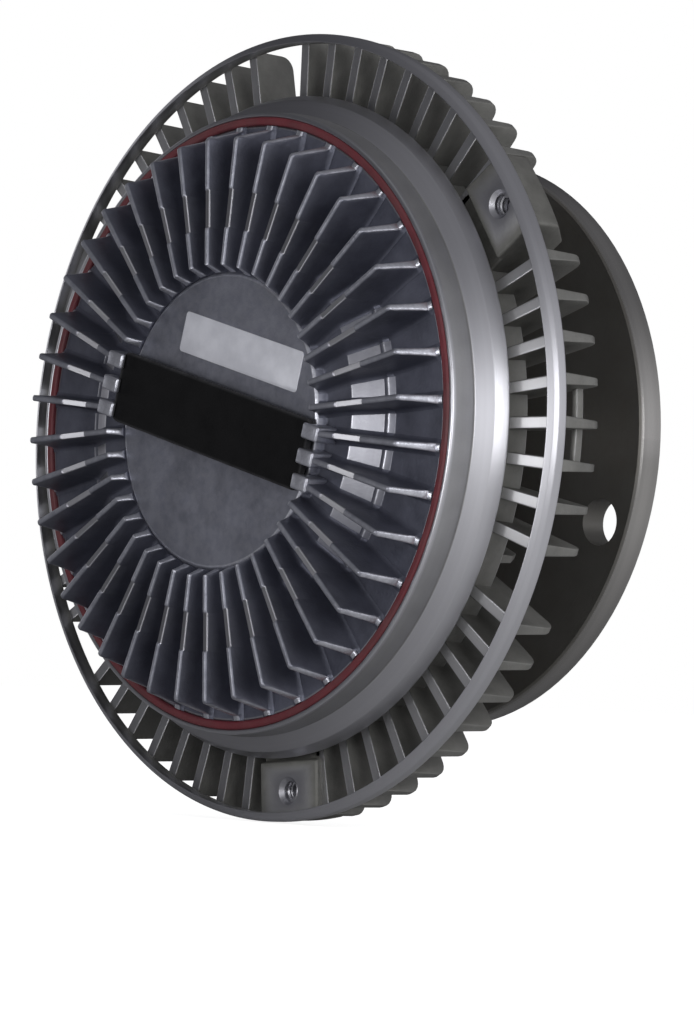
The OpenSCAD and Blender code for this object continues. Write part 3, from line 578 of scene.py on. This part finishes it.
def landSteps(level, direction, outward):
    steps = []
    order = range(landPlan["count"] - 1) if outward else reversed(range(landPlan["count"] - 1))
    half = landPlan["thick"] / 2 * (1 if outward else -1)
    for k in order:
        middle = landPlan["first"] + (k + 0.5) * landPlan["pitch"]
        tip = level + direction * landPlan["height"]
        steps += [(middle - half, level, 0, 1), (middle - half, tip, 0, 1),
                  (middle + half, tip, 0, 1), (middle + half, level, 0, 1)]
    return steps


def coverProfile(c):
    f = c["fillet"]
    return roundedProfile([
        (c["pinBore"], c["discH"], 0.3, 0), (c["disc"], c["discH"], f, 0), (c["domeIn"], c["domeH"], f, 0),
        (c["domeOut"] - 0.5, c["domeH"], 0, 0), (c["domeOut"], c["domeH"], 0.4, c["smooth"]),
        (c["midIn"], c["midH"], 0.4, c["smooth"]), (c["midIn"] + 0.5, c["midH"], 0, 0),
        (c["midOut"], c["midH"], 0.4, 0.3), (c["rimIn"], c["rimH"], 0.4, 0.3), (c["rimIn"] + 0.6, c["rimH"], 0, 0),
        (c["rimOut"] - 0.9, c["rimH"], 0, 0), (c["rimOut"], c["rimH"], 0.8, 0.7), (c["rimOut"], c["noseH"] + 0.8, 0, 0),
        (c["noseIn"], c["noseH"] + 0.75, 0, 0), (c["noseIn"], c["noseH"] - 0.1, 0, 0),
        (c["seat"], c["noseH"] - 1.6, 0, 0), (c["seat"], c["rimLowH"], 0, 0), (c["chamber"], c["rimLowH"], 0, 0),
        (c["chamber"], c["floorH"], 0, 1)] + landSteps(c["floorH"], -1, False) + [
        (c["plateSeat"], c["floorH"], 0, 1), (c["plateSeat"], c["plateH"], 0, 1), (c["reservoir"], c["plateH"], 0, 1),
        (c["reservoir"], c["roofH"], 0, 0), (c["bossR"], c["roofH"], 0, 0), (c["bossR"], c["bossH"], 0, 0),
        (c["pinBore"], c["bossH"], 0, 1)])


finPlan = {"count": 40, "axisAngle": -14.5, "topH": 113.5, "saddle": 0.5, "tip": 1.0, "root": 1.5, "flare": 1.3,
           "round": 0.55, "innerR": 48.6, "rampR": 50.7, "saddleFrom": 62.7, "saddleTo": 75.6, "cornerR": 91.2,
           "outerTopR": 92.5, "drop": 1.0, "toeR": 96.0, "endR": 97.4, "toe": 1.4, "toeFall": 0.25, "startRise": 0.9,
           "grooveRamp": 0.4, "frontRub": 0.45, "frontTaper": 0.8, "grooveTaper": 0.25, "buried": 0.6}
finStations = [48.6, 49.0, 49.6, 50.2, 50.7, 51.4, 53, 56, 59, 61, 62, 62.7, 63.1, 64, 66, 68.5, 71, 71.7, 72.7, 73.7,
               74.4, 75.2, 75.6, 76.4, 77.7, 80, 83, 86, 89, 91.2, 91.6, 92, 92.3, 92.5, 93.4, 94.2, 95, 95.6, 96.0,
               96.4, 97.0, 97.4]


def coverHeight(r):
    c = cover
    marks = [(0, c["discH"]), (c["disc"], c["discH"]), (c["domeIn"], c["domeH"]), (c["domeOut"], c["domeH"]),
             (c["midIn"], c["midH"]), (c["midOut"], c["midH"]), (c["rimIn"], c["rimH"]), (200, c["rimH"])]
    for (r0, h0), (r1, h1) in zip(marks, marks[1:]):
        if r <= r1:
            return h0 + (h1 - h0) * (r - r0) / (r1 - r0)


def finTop(r):
    p = finPlan
    base, rise, ramp = cover["discH"], p["startRise"], p["grooveRamp"]
    if r < p["rampR"]:
        return base + rise + (p["topH"] - base - rise) * (r - p["innerR"]) / (p["rampR"] - p["innerR"])
    if r <= p["cornerR"]:
        dip = min(max((r - p["saddleFrom"]) / ramp, 0), 1) * min(max((p["saddleTo"] - r) / ramp, 0), 1)
        return p["topH"] - p["saddle"] * dip
    if r <= p["outerTopR"]:
        t = (r - p["cornerR"]) / (p["outerTopR"] - p["cornerR"])
        return p["topH"] - p["drop"] * (1 - sqrt(max(1 - t * t, 0)))
    if r <= p["toeR"]:
        t = (r - p["outerTopR"]) / (p["toeR"] - p["outerTopR"])
        return p["topH"] - p["drop"] + (cover["rimH"] + p["toe"] - p["topH"] + p["drop"]) * t
    return cover["rimH"] + p["toe"] * (1 - p["toeFall"] * (r - p["toeR"]) / (p["endR"] - p["toeR"]))


# one drafted fin with a round front edge, a fillet at its foot and a groove turned into its front edge
def finMesh(name):
    p = finPlan
    mesher = bmesh.new()
    rub, cut = wearLayers(mesher)
    columns = []
    for r in finStations:
        low = min(coverHeight(r), coverHeight(r - 0.3))
        top = finTop(r)
        slope = (finTop(min(r + 0.05, p["endR"])) - finTop(max(r - 0.05, p["innerR"]))) / 0.1
        grooved = p["saddleFrom"] + 0.2 < r < p["saddleTo"] - 0.2
        share = p["frontRub"] if p["rampR"] < r < p["outerTopR"] and not grooved else 1.0
        flat = p["grooveTaper"] if grooved else p["frontTaper"]
        tall = top - low
        soft = min(p["round"] * sqrt(1 + slope * slope), tall * 0.42)

        def width(h):
            return p["root"] + (p["tip"] - p["root"]) * (h - low) / (p["topH"] - low)

        # (height, half width, rub) from the fillet at the foot to the round front edge
        levels = [(low - p["buried"], p["root"] + p["flare"], 0), (low + 0.10, p["root"] + p["flare"], 0),
                  (low + min(0.35, tall * 0.2), p["root"] + p["flare"] * 0.52, 0),
                  (low + min(0.85, tall * 0.35), p["root"] + p["flare"] * 0.16, 0),
                  (low + min(1.5, tall * 0.5), width(low + 1.5), 0), (low + tall * 0.56, width(low + tall * 0.56), 0),
                  (top - soft, width(top), 0.15), (top - soft * 0.55, width(top) - flat * 0.14, 0.6),
                  (top - soft * 0.16, width(top) - flat * 0.5, 0.9), (top, width(top) - flat, 1)]
        column = []
        for side in (-1, 1):
            for h, w, worn in levels[::-side]:
                vert = mesher.verts.new(Vector((r, -h, side * w)) * mm)
                vert[rub] = worn * share
                vert[cut] = 1.0 if grooved and worn > 0.5 else 0.0
                column.append(vert)
        columns.append(column)
    bandFaces(mesher, columns)
    return finishMesh(name, mesher)


stripPlan = {"length": 98.0, "width": 23.5, "lowH": 110.0, "topH": 112.0, "angle": -14.5, "bevel": 0.35, "cut": 1.5,
             "held": 3.0}
lugPlan = {"width": 5.0, "length": 6.0, "nose": 1.6, "gap": 0.1, "topH": 113.9, "footH": 104.0, "bevel": 0.7,
           "rub": 0.9}


# one staked lug over a strip end; side is the end's angle, k its place across the end
def lugPiece(side, k):
    p = lugPlan
    foot = stripPlan["length"] / 2 + p["gap"]
    noseLow = stripPlan["topH"] + p["gap"]
    outline = [(foot, p["footH"]), (foot, noseLow), (foot - p["nose"], noseLow), (foot - p["nose"], p["topH"]),
               (foot + p["length"], p["topH"]), (foot + p["length"], p["footH"])]
    shift = (foot + p["length"] / 2) * tan(radians(k * 360 / finPlan["count"]))
    turn = radians(stripPlan["angle"] + side)
    mesher = bmesh.new()
    rub = wearLayers(mesher)[0]
    sides = [[mesher.verts.new(onFace(x, y, h, turn)) for x, h in outline]
             for y in (shift - p["width"] / 2, shift + p["width"] / 2)]
    bandFaces(mesher, sides)
    for vert in mesher.verts:
        vert[rub] = p["rub"]
    piece = addObject("lug", finishMesh("lug", mesher))
    bevel = piece.modifiers.new("soften", "BEVEL")
    bevel.width = p["bevel"] * mm
    bevel.segments = 3
    return settle(piece)


coverParts = [addObject("coverDome", latheMesh("coverDome", coverProfile(cover), cover["segments"]))]
finPeriod = finPlan["count"] // 2
finGaps = (0, 1, finPeriod - 1)
fullFins = addObject("fullFins", finMesh("fullFins"))
spreadAround(fullFins, finPlan["count"], finPlan["axisAngle"], coverMetal, finGaps, 0.0, finPeriod)
seatFins = addObject("seatFins", finMesh("seatFins"))
seatCut = bmesh.new()
seatCut.from_mesh(seatFins.data)
for vert in seatCut.verts:  # fins under the strip's ends are cut down to its seat
    if -vert.co.y > stripPlan["lowH"] * mm and vert.co.x < (stripPlan["length"] / 2 + 1.0) * mm:
        vert.co.y = -stripPlan["lowH"] * mm
seatCut.to_mesh(seatFins.data)
seatCut.free()
spreadAround(seatFins, finPlan["count"], finPlan["axisAngle"], coverMetal, finGaps, 1.0, finPeriod)
coverParts += [fullFins, seatFins]
coverParts += [lugPiece(side, k) for side in (0, 180) for k in (-1, 0, 1)]
frontCover = joinPieces("frontCover", coverParts, coverMetal)
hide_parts("front_cover")
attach(frontCover, "housing")
print("front cover:", len(frontCover.data.polygons), "faces")

# body
body = {"hubOpen": 35.0, "floorH": 76.3, "chamber": 97.1, "seatH": 91.35, "lipIn": 100.4, "noseIn": 98.95,
        "noseH": 95.5, "lip": 102.0, "lipTopH": 99.2, "lipRound": 0.75, "coneR": 102.6, "coneH": 89.7,
        "shoulder": 109.4, "shoulderH": 85.2, "edgeH": 81.8, "edgeBevel": 0.8, "wall": 105.0, "wallH": 69.3,
        "hub": 48.0, "hubLowH": 33.0, "bearing": 40.0, "bearingTopH": 54.5, "segments": 240, "ring": 130.0,
        "window": 127.0, "ringH": 80.5, "ringLowH": 76.3, "ringSlope": 2.4, "ringBevel": 1.0, "ringCutW": 1.7,
        "ringCutH": 1.6}


def bodyProfile(b):
    under = b["edgeH"] - b["edgeBevel"]
    return roundedProfile([
        (b["hubOpen"], b["floorH"], 0.3, 1)] + landSteps(b["floorH"], 1, True) + [
        (b["chamber"], b["floorH"], 0.4, 1), (b["chamber"], b["seatH"], 0, 1), (b["lipIn"], b["seatH"], 0, 1),
        (b["lipIn"], b["noseH"] - 1.45, 0, 1), (b["noseIn"], b["noseH"], 0, 1), (b["noseIn"], b["noseH"] + 0.8, 0, 1),
        (b["lipIn"], b["noseH"] + 0.8, 0, 0), (b["lipIn"], b["lipTopH"] - 0.9, 0, 0),
        (b["lipIn"], b["lipTopH"], b["lipRound"], 0.8), (b["lip"], b["lipTopH"], b["lipRound"], 0.8),
        (b["lip"] + 0.1, b["lipTopH"] - 1.6, 0, 0.45), (b["coneR"] - 0.1, b["coneH"] + 1.8, 0, 0.45),
        (b["coneR"] - 0.4, b["coneH"] + 0.5, 0.2, 0.3), (b["coneR"], b["coneH"], 0.3, 0.8),
        (b["shoulder"] - 2.1, b["shoulderH"] + 0.95, 0.4, 0.8), (b["shoulder"], b["edgeH"], 0.4, 0.8),
        (b["shoulder"] - b["edgeBevel"], under, 0.3, 0.4), (b["wall"], under, 1.2, 0),
        (b["wall"], b["edgeH"] - 4, 0, 0),
        (b["wall"], b["wallH"], 0.8, 0), (b["hub"], b["wallH"], 5.0, 0), (b["hub"], b["hubLowH"] + 12, 0, 0),
        (b["hub"], b["hubLowH"] + 11, 0, 1), (b["hub"], b["hubLowH"], 1.0, 1), (b["bearing"], b["hubLowH"], 1.0, 1),
        (b["bearing"], b["bearingTopH"], 0, 1), (b["hubOpen"], b["bearingTopH"], 0.3, 1)])


# the fan ring: a two-step slope in front and a corner cut off behind
def ringProfile(b):
    return roundedProfile([
        (b["window"], b["ringLowH"] + b["ringCutH"], 0.3, 0), (b["window"] + b["ringCutW"], b["ringLowH"], 0.2, 0),
        (b["ring"] - b["ringBevel"], b["ringLowH"], 0.1, 0.3), (b["ring"], b["ringLowH"] + b["ringBevel"], 0.4, 0.8),
        (b["ring"], b["ringH"], 0.5, 0.8), (b["ring"] - 1.0, b["ringH"] + b["ringSlope"] - 1.05, 0.3, 0.8),
        (b["ring"] - b["ringSlope"] - 0.3, b["ringH"] + b["ringSlope"], 0.25, 0.8),
        (b["window"], b["ringH"] + b["ringSlope"], 0.15, 0.8)])


# of the twenty places in each third, 5 and 6 make room for a boss and 16 for a double window
ribPlan = {"count": 60, "frontHalf": 2.0, "rearHalf": 1.1, "recessH": 77.3, "lowH": 60.2, "startR": 56.0, "fullR": 64.0,
           "corner": 4.6, "lean": 0.6, "round": 0.35, "gaps": (5, 6, 16), "period": 20}


# one rib: a drafted plate in the plane of the axis with rounded edges; short ones stop at the wall
def ribMesh(name, short):
    p = ribPlan
    inside = body["wallH"] + 3
    if short:
        outline = [(p["startR"], inside), (p["fullR"], p["lowH"]), (body["wall"] - 4, p["lowH"]),
                   (body["wall"] - 1, p["lowH"] + 4), (body["wall"] - 1, inside)]
    else:
        outer = body["ring"] - p["lean"]
        outline = [(p["startR"], inside), (p["fullR"], p["lowH"])]
        outline += quarterArc(outer - p["corner"], p["lowH"] + p["corner"], p["corner"], -90)
        outline += [(body["ring"] - 0.6, body["ringLowH"] + 0.7), (body["ring"] - 1.2, p["recessH"]),
                    (body["window"] - 1, p["recessH"]), (body["wall"] - 0.5, p["recessH"]),
                    (body["wall"] - 2, p["recessH"] - 1), (body["wall"] - 2, inside)]
    middle = Vector((sum(x for x, h in outline) / len(outline), sum(h for x, h in outline) / len(outline)))
    mesher = bmesh.new()
    rub, cut = wearLayers(mesher)
    rows = []
    count = len(outline)
    for inset, less, worn in ((0, p["round"] + 0.2, 0.2), (0, p["round"], 0.2),
                              (p["round"] * 0.35, p["round"] * 0.3, 0.2), (p["round"] * 1.2, 0, 0.1)):
        for sign in (-1, 1):
            row = []
            for i, (x, h) in enumerate(outline):
                ahead = Vector(outline[(i + 1) % count]) - Vector(outline[i - 1])
                normal = Vector((-ahead.y, ahead.x)).normalized()
                if normal.dot(middle - Vector((x, h))) < 0:
                    normal = -normal
                spot = Vector((x, h)) + normal * inset
                t = (spot.y - p["lowH"]) / (p["recessH"] - p["lowH"])
                half = p["rearHalf"] + (p["frontHalf"] - p["rearHalf"]) * t - less
                vert = mesher.verts.new(Vector((spot.x, -spot.y, sign * half)) * mm)
                vert[rub] = worn
                vert[cut] = 1.0 if inset == 0 and h >= p["recessH"] else 0.0
                row.append(vert)
            rows.append(row)
    bandFaces(mesher, rows[6::-2] + rows[1::2])
    return finishMesh(name, mesher)


bossPlan = {"count": 3, "angle": 35.0, "width": 28.0, "pitchR": 120.0, "holeR": 3.4, "bevel": 1.3, "topH": 79.5,
            "innerR": 103.0, "seatR": 110.0, "corner": 0.9, "footRise": 7.5, "footPull": 7.0, "holeMark": 0.8,
            "drillLowH": 40.0, "drillTopH": 90.0, "drillSides": 48}


# a block under the ring whose outer foot leans in, with its seat face stepped clear of the shoulder
def bossMesh():
    p = bossPlan
    half = p["width"] / 2
    outerEdge = []
    steps = 12
    for k in range(steps + 1):
        y = -half + p["width"] * k / steps
        outerEdge.append((sqrt((body["ring"] - 0.5) ** 2 - y * y), y))
    seat = [(p["seatR"], -half)] + outerEdge + [(p["seatR"], half)]
    outline = [(p["innerR"], -half)] + seat + [(p["innerR"], half)]
    mesher = bmesh.new()
    levels = [ribPlan["lowH"], ribPlan["lowH"] + p["footRise"], ribPlan["recessH"]]
    rows = []
    for level in levels:
        row = []
        for x, y in outline:
            pull = p["footPull"] if level == levels[0] and x > p["seatR"] else 0
            row.append(mesher.verts.new(Vector((x - pull, -level, y)) * mm))
        rows.append(row)
    bandFaces(mesher, rows, ends=False)
    mesher.faces.new(rows[0])
    step = rows[-1]
    top = [mesher.verts.new(Vector((x, -p["topH"], y)) * mm) for x, y in seat]
    mesher.faces.new((step[0], step[1], step[-2], step[-1]))
    for i in range(len(seat)):
        j = (i + 1) % len(seat)
        mesher.faces.new((step[i + 1], step[j + 1], top[j], top[i]))
    mesher.faces.new(top)
    return finishMesh("boss", mesher)


# the boss with its corners softened and its fan hole drilled
def bossPiece():
    p = bossPlan
    boss = addObject("boss", bossMesh())
    soften = boss.modifiers.new("soften", "BEVEL")
    soften.width = p["corner"] * mm
    soften.segments = 3
    soften.limit_method = "ANGLE"
    soften.angle_limit = radians(40)
    wide, sides = p["holeR"] + p["bevel"], p["drillSides"]
    profile = [(0.0, p["drillLowH"]), (p["holeR"], p["drillLowH"]), (p["holeR"], p["topH"] - p["bevel"]),
               (wide, p["topH"]), (wide, p["drillTopH"]), (0.0, p["drillTopH"])]
    mesher = bmesh.new()
    rings = []
    for k in range(sides):
        a = 2 * pi * k / sides
        rings.append([mesher.verts.new(Vector((p["pitchR"] + r * cos(a), -h, r * sin(a))) * mm) for r, h in profile])
    for k in range(sides):
        a, b = rings[k], rings[(k + 1) % sides]
        for i in range(len(profile) - 1):
            mesher.faces.new((a[i], a[i + 1], b[i + 1], b[i]))
    drill = addObject("drill", finishMesh("drill", mesher, merge=0.001))
    drilled = boss.modifiers.new("drilled", "BOOLEAN")
    drilled.operation = "DIFFERENCE"
    drilled.solver = "EXACT"
    drilled.object = drill
    settle(boss)
    bpy.data.objects.remove(drill)
    mesher = bmesh.new()
    mesher.from_mesh(boss.data)
    rub, cut = wearLayers(mesher)
    for vert in mesher.verts:
        away = hypot(vert.co.x / mm - p["pitchR"], vert.co.z / mm)
        if away < wide + 0.05:
            vert[cut] = p["holeMark"]
            vert[rub] = p["holeMark"]
    mesher.to_mesh(boss.data)
    mesher.free()
    return boss


bridgePlan = {"outer": 121.0, "thick": 2.2, "lowH": 60.8, "length": 3.0, "reach": 6.0, "round": 0.5}


# the bar that joins three ribs at the right
def bridgePiece():
    p = bridgePlan
    inner, highH = p["outer"] - p["thick"], p["lowH"] + p["length"]
    corners = roundedProfile([(inner, p["lowH"], p["round"], 0), (p["outer"], p["lowH"], p["round"], 0),
                              (p["outer"], highH, p["round"], 0), (inner, highH, p["round"], 0)], 2)
    mesher = bmesh.new()
    rub = wearLayers(mesher)[0]
    rows = []
    steps = 8
    for k in range(steps + 1):
        a = radians(-p["reach"] + 2 * p["reach"] * k / steps)
        row = []
        for r, h, worn, turned in corners:
            vert = mesher.verts.new(onAxis(r, h, a))
            vert[rub] = worn
            row.append(vert)
        rows.append(row)
    bandFaces(mesher, rows)
    return addObject("bridge", finishMesh("bridge", mesher))


bodyParts = [addObject("bodyShell", latheMesh("bodyShell", bodyProfile(body), body["segments"])),
             addObject("fanRing", latheMesh("fanRing", ringProfile(body), body["segments"]))]
for name, short in (("fullRibs", False), ("shortRibs", True)):
    ribs = addObject(name, ribMesh(name, short))
    spreadAround(ribs, ribPlan["count"], 0.0, bodyMetal, ribPlan["gaps"], 1.0 if short else 0.0, ribPlan["period"])
    bodyParts.append(ribs)
bosses = bossPiece()
spreadAround(bosses, bossPlan["count"], bossPlan["angle"], bodyMetal)
bodyParts += [bosses, bridgePiece()]
castBody = joinPieces("castBody", bodyParts, bodyMetal)
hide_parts("body")
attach(castBody, "housing")
print("body:", len(castBody.data.polygons), "faces")

# threads in the fan holes
threadPlan = {"turns": 14.0, "radius": 3.35, "pitch": 1.25, "crest": 0.42, "fromH": 61.0}
threadStart = bpy.data.meshes.new("fanThreads")
threadStart.from_pydata([(0, 0, 0)], [], [])
fanThreads = addObject("fanThreads", threadStart)
runTree(fanThreads, threadCoil, Turns=threadPlan["turns"], Radius=threadPlan["radius"] * mm,
        Pitch=threadPlan["pitch"] * mm, Crest=threadPlan["crest"] * mm, Material=bodyMetal)
fanThreads.data.transform(Matrix.Translation(Vector((bossPlan["pitchR"], -threadPlan["fromH"], 0)) * mm)
                          @ Matrix.Rotation(radians(90), 4, "X"))
spreadAround(fanThreads, bossPlan["count"], bossPlan["angle"], turnedMetal)
smoothShade(fanThreads.data)
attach(fanThreads, "housing")
print("threads:", len(fanThreads.data.polygons), "faces")


# bimetal strip in two halves, held at its ends and carried by the pin at its middle
def stripHalf(side):
    p = stripPlan
    half, reach, e = p["width"] / 2, p["length"] / 2, p["bevel"]
    turn = radians(p["angle"])
    low, top = p["lowH"], p["topH"]
    section = [(-half + e, low, 0.5), (half - e, low, 0.5), (half, low + e, 1), (half, top - e, 1),
               (half - e, top, 0.6), (half - 3 * e, top, 0), (0, top, 0), (-half + 3 * e, top, 0),
               (-half + e, top, 0.6), (-half, top - e, 1), (-half, low + e, 1)]
    mesher = bmesh.new()
    rub = mesher.verts.layers.float.new("rub")
    rows = []
    steps = 40
    for k in range(steps + 1):
        x = reach * k / steps
        short = max(0.0, p["cut"] - (reach - x))
        squeeze = (half - short) / half
        row = []
        for y, h, worn in section:
            vert = mesher.verts.new(onFace(side * x, y * squeeze, h, turn))
            vert[rub] = max(worn, 1.0 if k == steps else 0)
            row.append(vert)
        rows.append(row)
    bandFaces(mesher, rows)
    name = "stripRight" if side > 0 else "stripLeft"
    piece = addObject(name, finishMesh(name, mesher))
    piece.data.materials.append(stripBlack)
    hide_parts("bimetal_strip")
    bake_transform(piece)
    return piece


strips = [stripHalf(side) for side in (-1, 1)]
print("strip halves:", [len(piece.data.polygons) for piece in strips])

# bare label plate beside the strip
labelPlan = {"length": 61.0, "width": 13.4, "thick": 0.3, "centre": (4.0, 24.2), "corner": 1.2, "baseH": 107.8,
             "sunk": 0.1, "bevel": 0.25}


def labelPiece():
    p = labelPlan
    turn = radians(stripPlan["angle"])
    half, tall = p["length"] / 2, p["width"] / 2
    outline = []
    right, up = half - p["corner"], tall - p["corner"]
    for x, y, start in ((right, up, 0), (-right, up, 90), (-right, -up, 180), (right, -up, 270)):
        outline += quarterArc(x, y, p["corner"], start)
    mesher = bmesh.new()
    rows = []
    for inset, h in ((0, p["baseH"] - p["sunk"]), (0, p["baseH"] + p["thick"] * 0.6),
                     (p["bevel"], p["baseH"] + p["thick"])):
        row = []
        for x, y in outline:
            x, y = x * (1 - inset / half) + p["centre"][0], y * (1 - inset / tall) + p["centre"][1]
            row.append(mesher.verts.new(onFace(x, y, h, turn)))
        rows.append(row)
    bandFaces(mesher, rows)
    piece = addObject("labelPlate", finishMesh("labelPlate", mesher))
    piece.data.materials.append(labelFoil)
    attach(piece, "housing")


labelPiece()

# solids that stay as they are get their finish
finishes = {"drive_shaft": flangeSteel, "bearing_shields": pressedSteel, "rotor": turnedMetal, "cover_seal": redBead,
            "pin_seal": blackRubber, "control_pin": groundSteel, "cage_front": cageBrass, "cage_rear": cageBrass,
            "pump_body": cageBrass, "bearing_inner_race": groundSteel, "bearing_outer_race": groundSteel,
            "bearing_balls": groundSteel}
for name, solid in frame["nodes"].items():
    if solid.hide_render:
        continue
    coat(solid, finishes.get(name, pressedSteel))
print("finishes set on", len(frame["nodes"]), "solids")

# floor, light and camera
# paintedGlow, paintedGlowFrom and paintedGlowTo set the floor's painted glow, which only reflections in the metal see
studio = {"floorZ": -0.1305, "floorSize": 14.0, "white": (0.94, 0.94, 0.94, 1), "grey": (0.58, 0.58, 0.58, 1),
          "lift": 0.92, "paintedGlowFrom": -0.04, "paintedGlowTo": 0.30, "paintedGlow": 0.45}


def makeFloor():
    material, bench, shader, place = startMaterial("paleFloor")
    path = bench.add("ShaderNodeLightPath")
    seen = path.outputs["Is Camera Ray"]
    bench.link(bench.mixColour(seen, studio["grey"], studio["white"]), shader.inputs["Base Color"])
    shader.inputs["Roughness"].default_value = 0.9
    shader.inputs["Specular IOR Level"].default_value = 0.0
    shader.inputs["Emission Color"].default_value = studio["white"]
    # painted reflection: to glossy rays only, the floor glows, more towards +x, though it is no lamp, so the metal
    # shows a painted bright reflection at the right
    across = bench.add("ShaderNodeSeparateXYZ")
    bench.link(place, across.inputs[0])
    bright = bench.ramp(across.outputs[0], studio["paintedGlowFrom"], studio["paintedGlowTo"], 0.0, studio["paintedGlow"])
    glossOnlyGlow = bench.math("MULTIPLY", path.outputs["Is Glossy Ray"], bright)
    lifted = bench.math("MULTIPLY", seen, studio["lift"])
    bench.link(bench.math("ADD", lifted, glossOnlyGlow), shader.inputs["Emission Strength"])
    mesh = bpy.data.meshes.new("floor")
    half = studio["floorSize"]
    mesh.from_pydata([(-half, -half, 0), (half, -half, 0), (half, half, 0), (-half, half, 0)], [], [(0, 1, 2, 3)])
    mesh.transform(Matrix.Translation((0, 0, studio["floorZ"])))
    mesh.materials.append(material)
    floor = addObject("floor", mesh)


makeFloor()


# each lamp is (place, width, height, power) and aims at the middle of the clutch
lamps = {"keyRight": ((1.284, -0.417, 0.04), 0.9, 0.7, 5), "keyFront": ((0.40, -1.40, 0.02), 1.0, 0.6, 2.0),
         "sideLeft": ((-0.20, -1.426, 0.0), 0.4, 0.3, 2.6)}
aim = Vector((0, -0.06, 0))
for name, (place, wide, tall, power) in lamps.items():
    data = bpy.data.lights.new(name, "AREA")
    data.energy = power
    data.shape = "RECTANGLE"
    data.size = wide
    data.size_y = tall
    lamp = bpy.data.objects.new(name, data)
    lamp.location = place
    lamp.rotation_euler = (aim - Vector(place)).to_track_quat("-Z", "Y").to_euler()
    scene.collection.objects.link(lamp)

# a room that is bright at the right and the far left, dim in front, less dim above and below, and white to the camera
room = {"dim": (0.05, 0.05, 0.055, 1), "above": (0.24, 0.24, 0.25, 1), "bright": (0.85, 0.85, 0.87, 1),
        "right": (0.05, 0.6), "left": (-0.82, -1.0), "level": (0.15, 0.8), "lift": (0.2, 0.7),
        "liftAcross": (-0.9, 0.1), "seen": (1, 1, 1, 1)}
world = bpy.data.worlds.new("studioWorld")
scene.world = world
world.use_nodes = True
bench = NodeBench(world.node_tree)
background = world.node_tree.nodes["Background"]
facing = bench.add("ShaderNodeSeparateXYZ")
bench.link(bench.add("ShaderNodeTexCoord").outputs["Generated"], facing.inputs[0])
fromRight = bench.ramp(facing.outputs[0], *room["right"])
fromLeft = bench.ramp(facing.outputs[0], *room["left"])
height = bench.math("ABSOLUTE", facing.outputs[2])
level = bench.ramp(height, *room["level"], 1.0, 0.0)
share = bench.math("MULTIPLY", bench.math("MAXIMUM", fromRight, fromLeft), level)
lifted = bench.math("MULTIPLY", bench.ramp(height, *room["lift"]),
                    bench.ramp(facing.outputs[0], *room["liftAcross"]))
quiet = bench.mixColour(lifted, room["dim"], room["above"])
surround = bench.mixColour(share, quiet, room["bright"])
path = bench.add("ShaderNodeLightPath")
seen = bench.math("MAXIMUM", path.outputs["Is Camera Ray"], path.outputs["Is Transmission Ray"])
bench.link(bench.mixColour(seen, surround, room["seen"]), background.inputs["Color"])
background.inputs["Strength"].default_value = 1.0

cameraPlan = {"place": (1.1172, -1.0542, -0.0859), "right": (0.66926, 0.74173, 0.04399), "up": (0.0, -0.05921, 0.99825),
              "back": (0.74303, -0.66809, -0.03963), "lens": 158.2, "sensor": 36.0, "far": 50}
cameraData = bpy.data.cameras.new("photoCamera")
cameraData.lens = cameraPlan["lens"]
cameraData.sensor_width = cameraPlan["sensor"]
cameraData.sensor_height = cameraPlan["sensor"]
cameraData.clip_end = cameraPlan["far"]
camera = bpy.data.objects.new("photoCamera", cameraData)
scene.collection.objects.link(camera)
camera.matrix_world = Matrix.Translation(cameraPlan["place"]) @ Matrix(
    (cameraPlan["right"], cameraPlan["up"], cameraPlan["back"])).transposed().to_4x4()
scene.camera = camera
scene.view_settings.view_transform = "Standard"
print("studio ready")
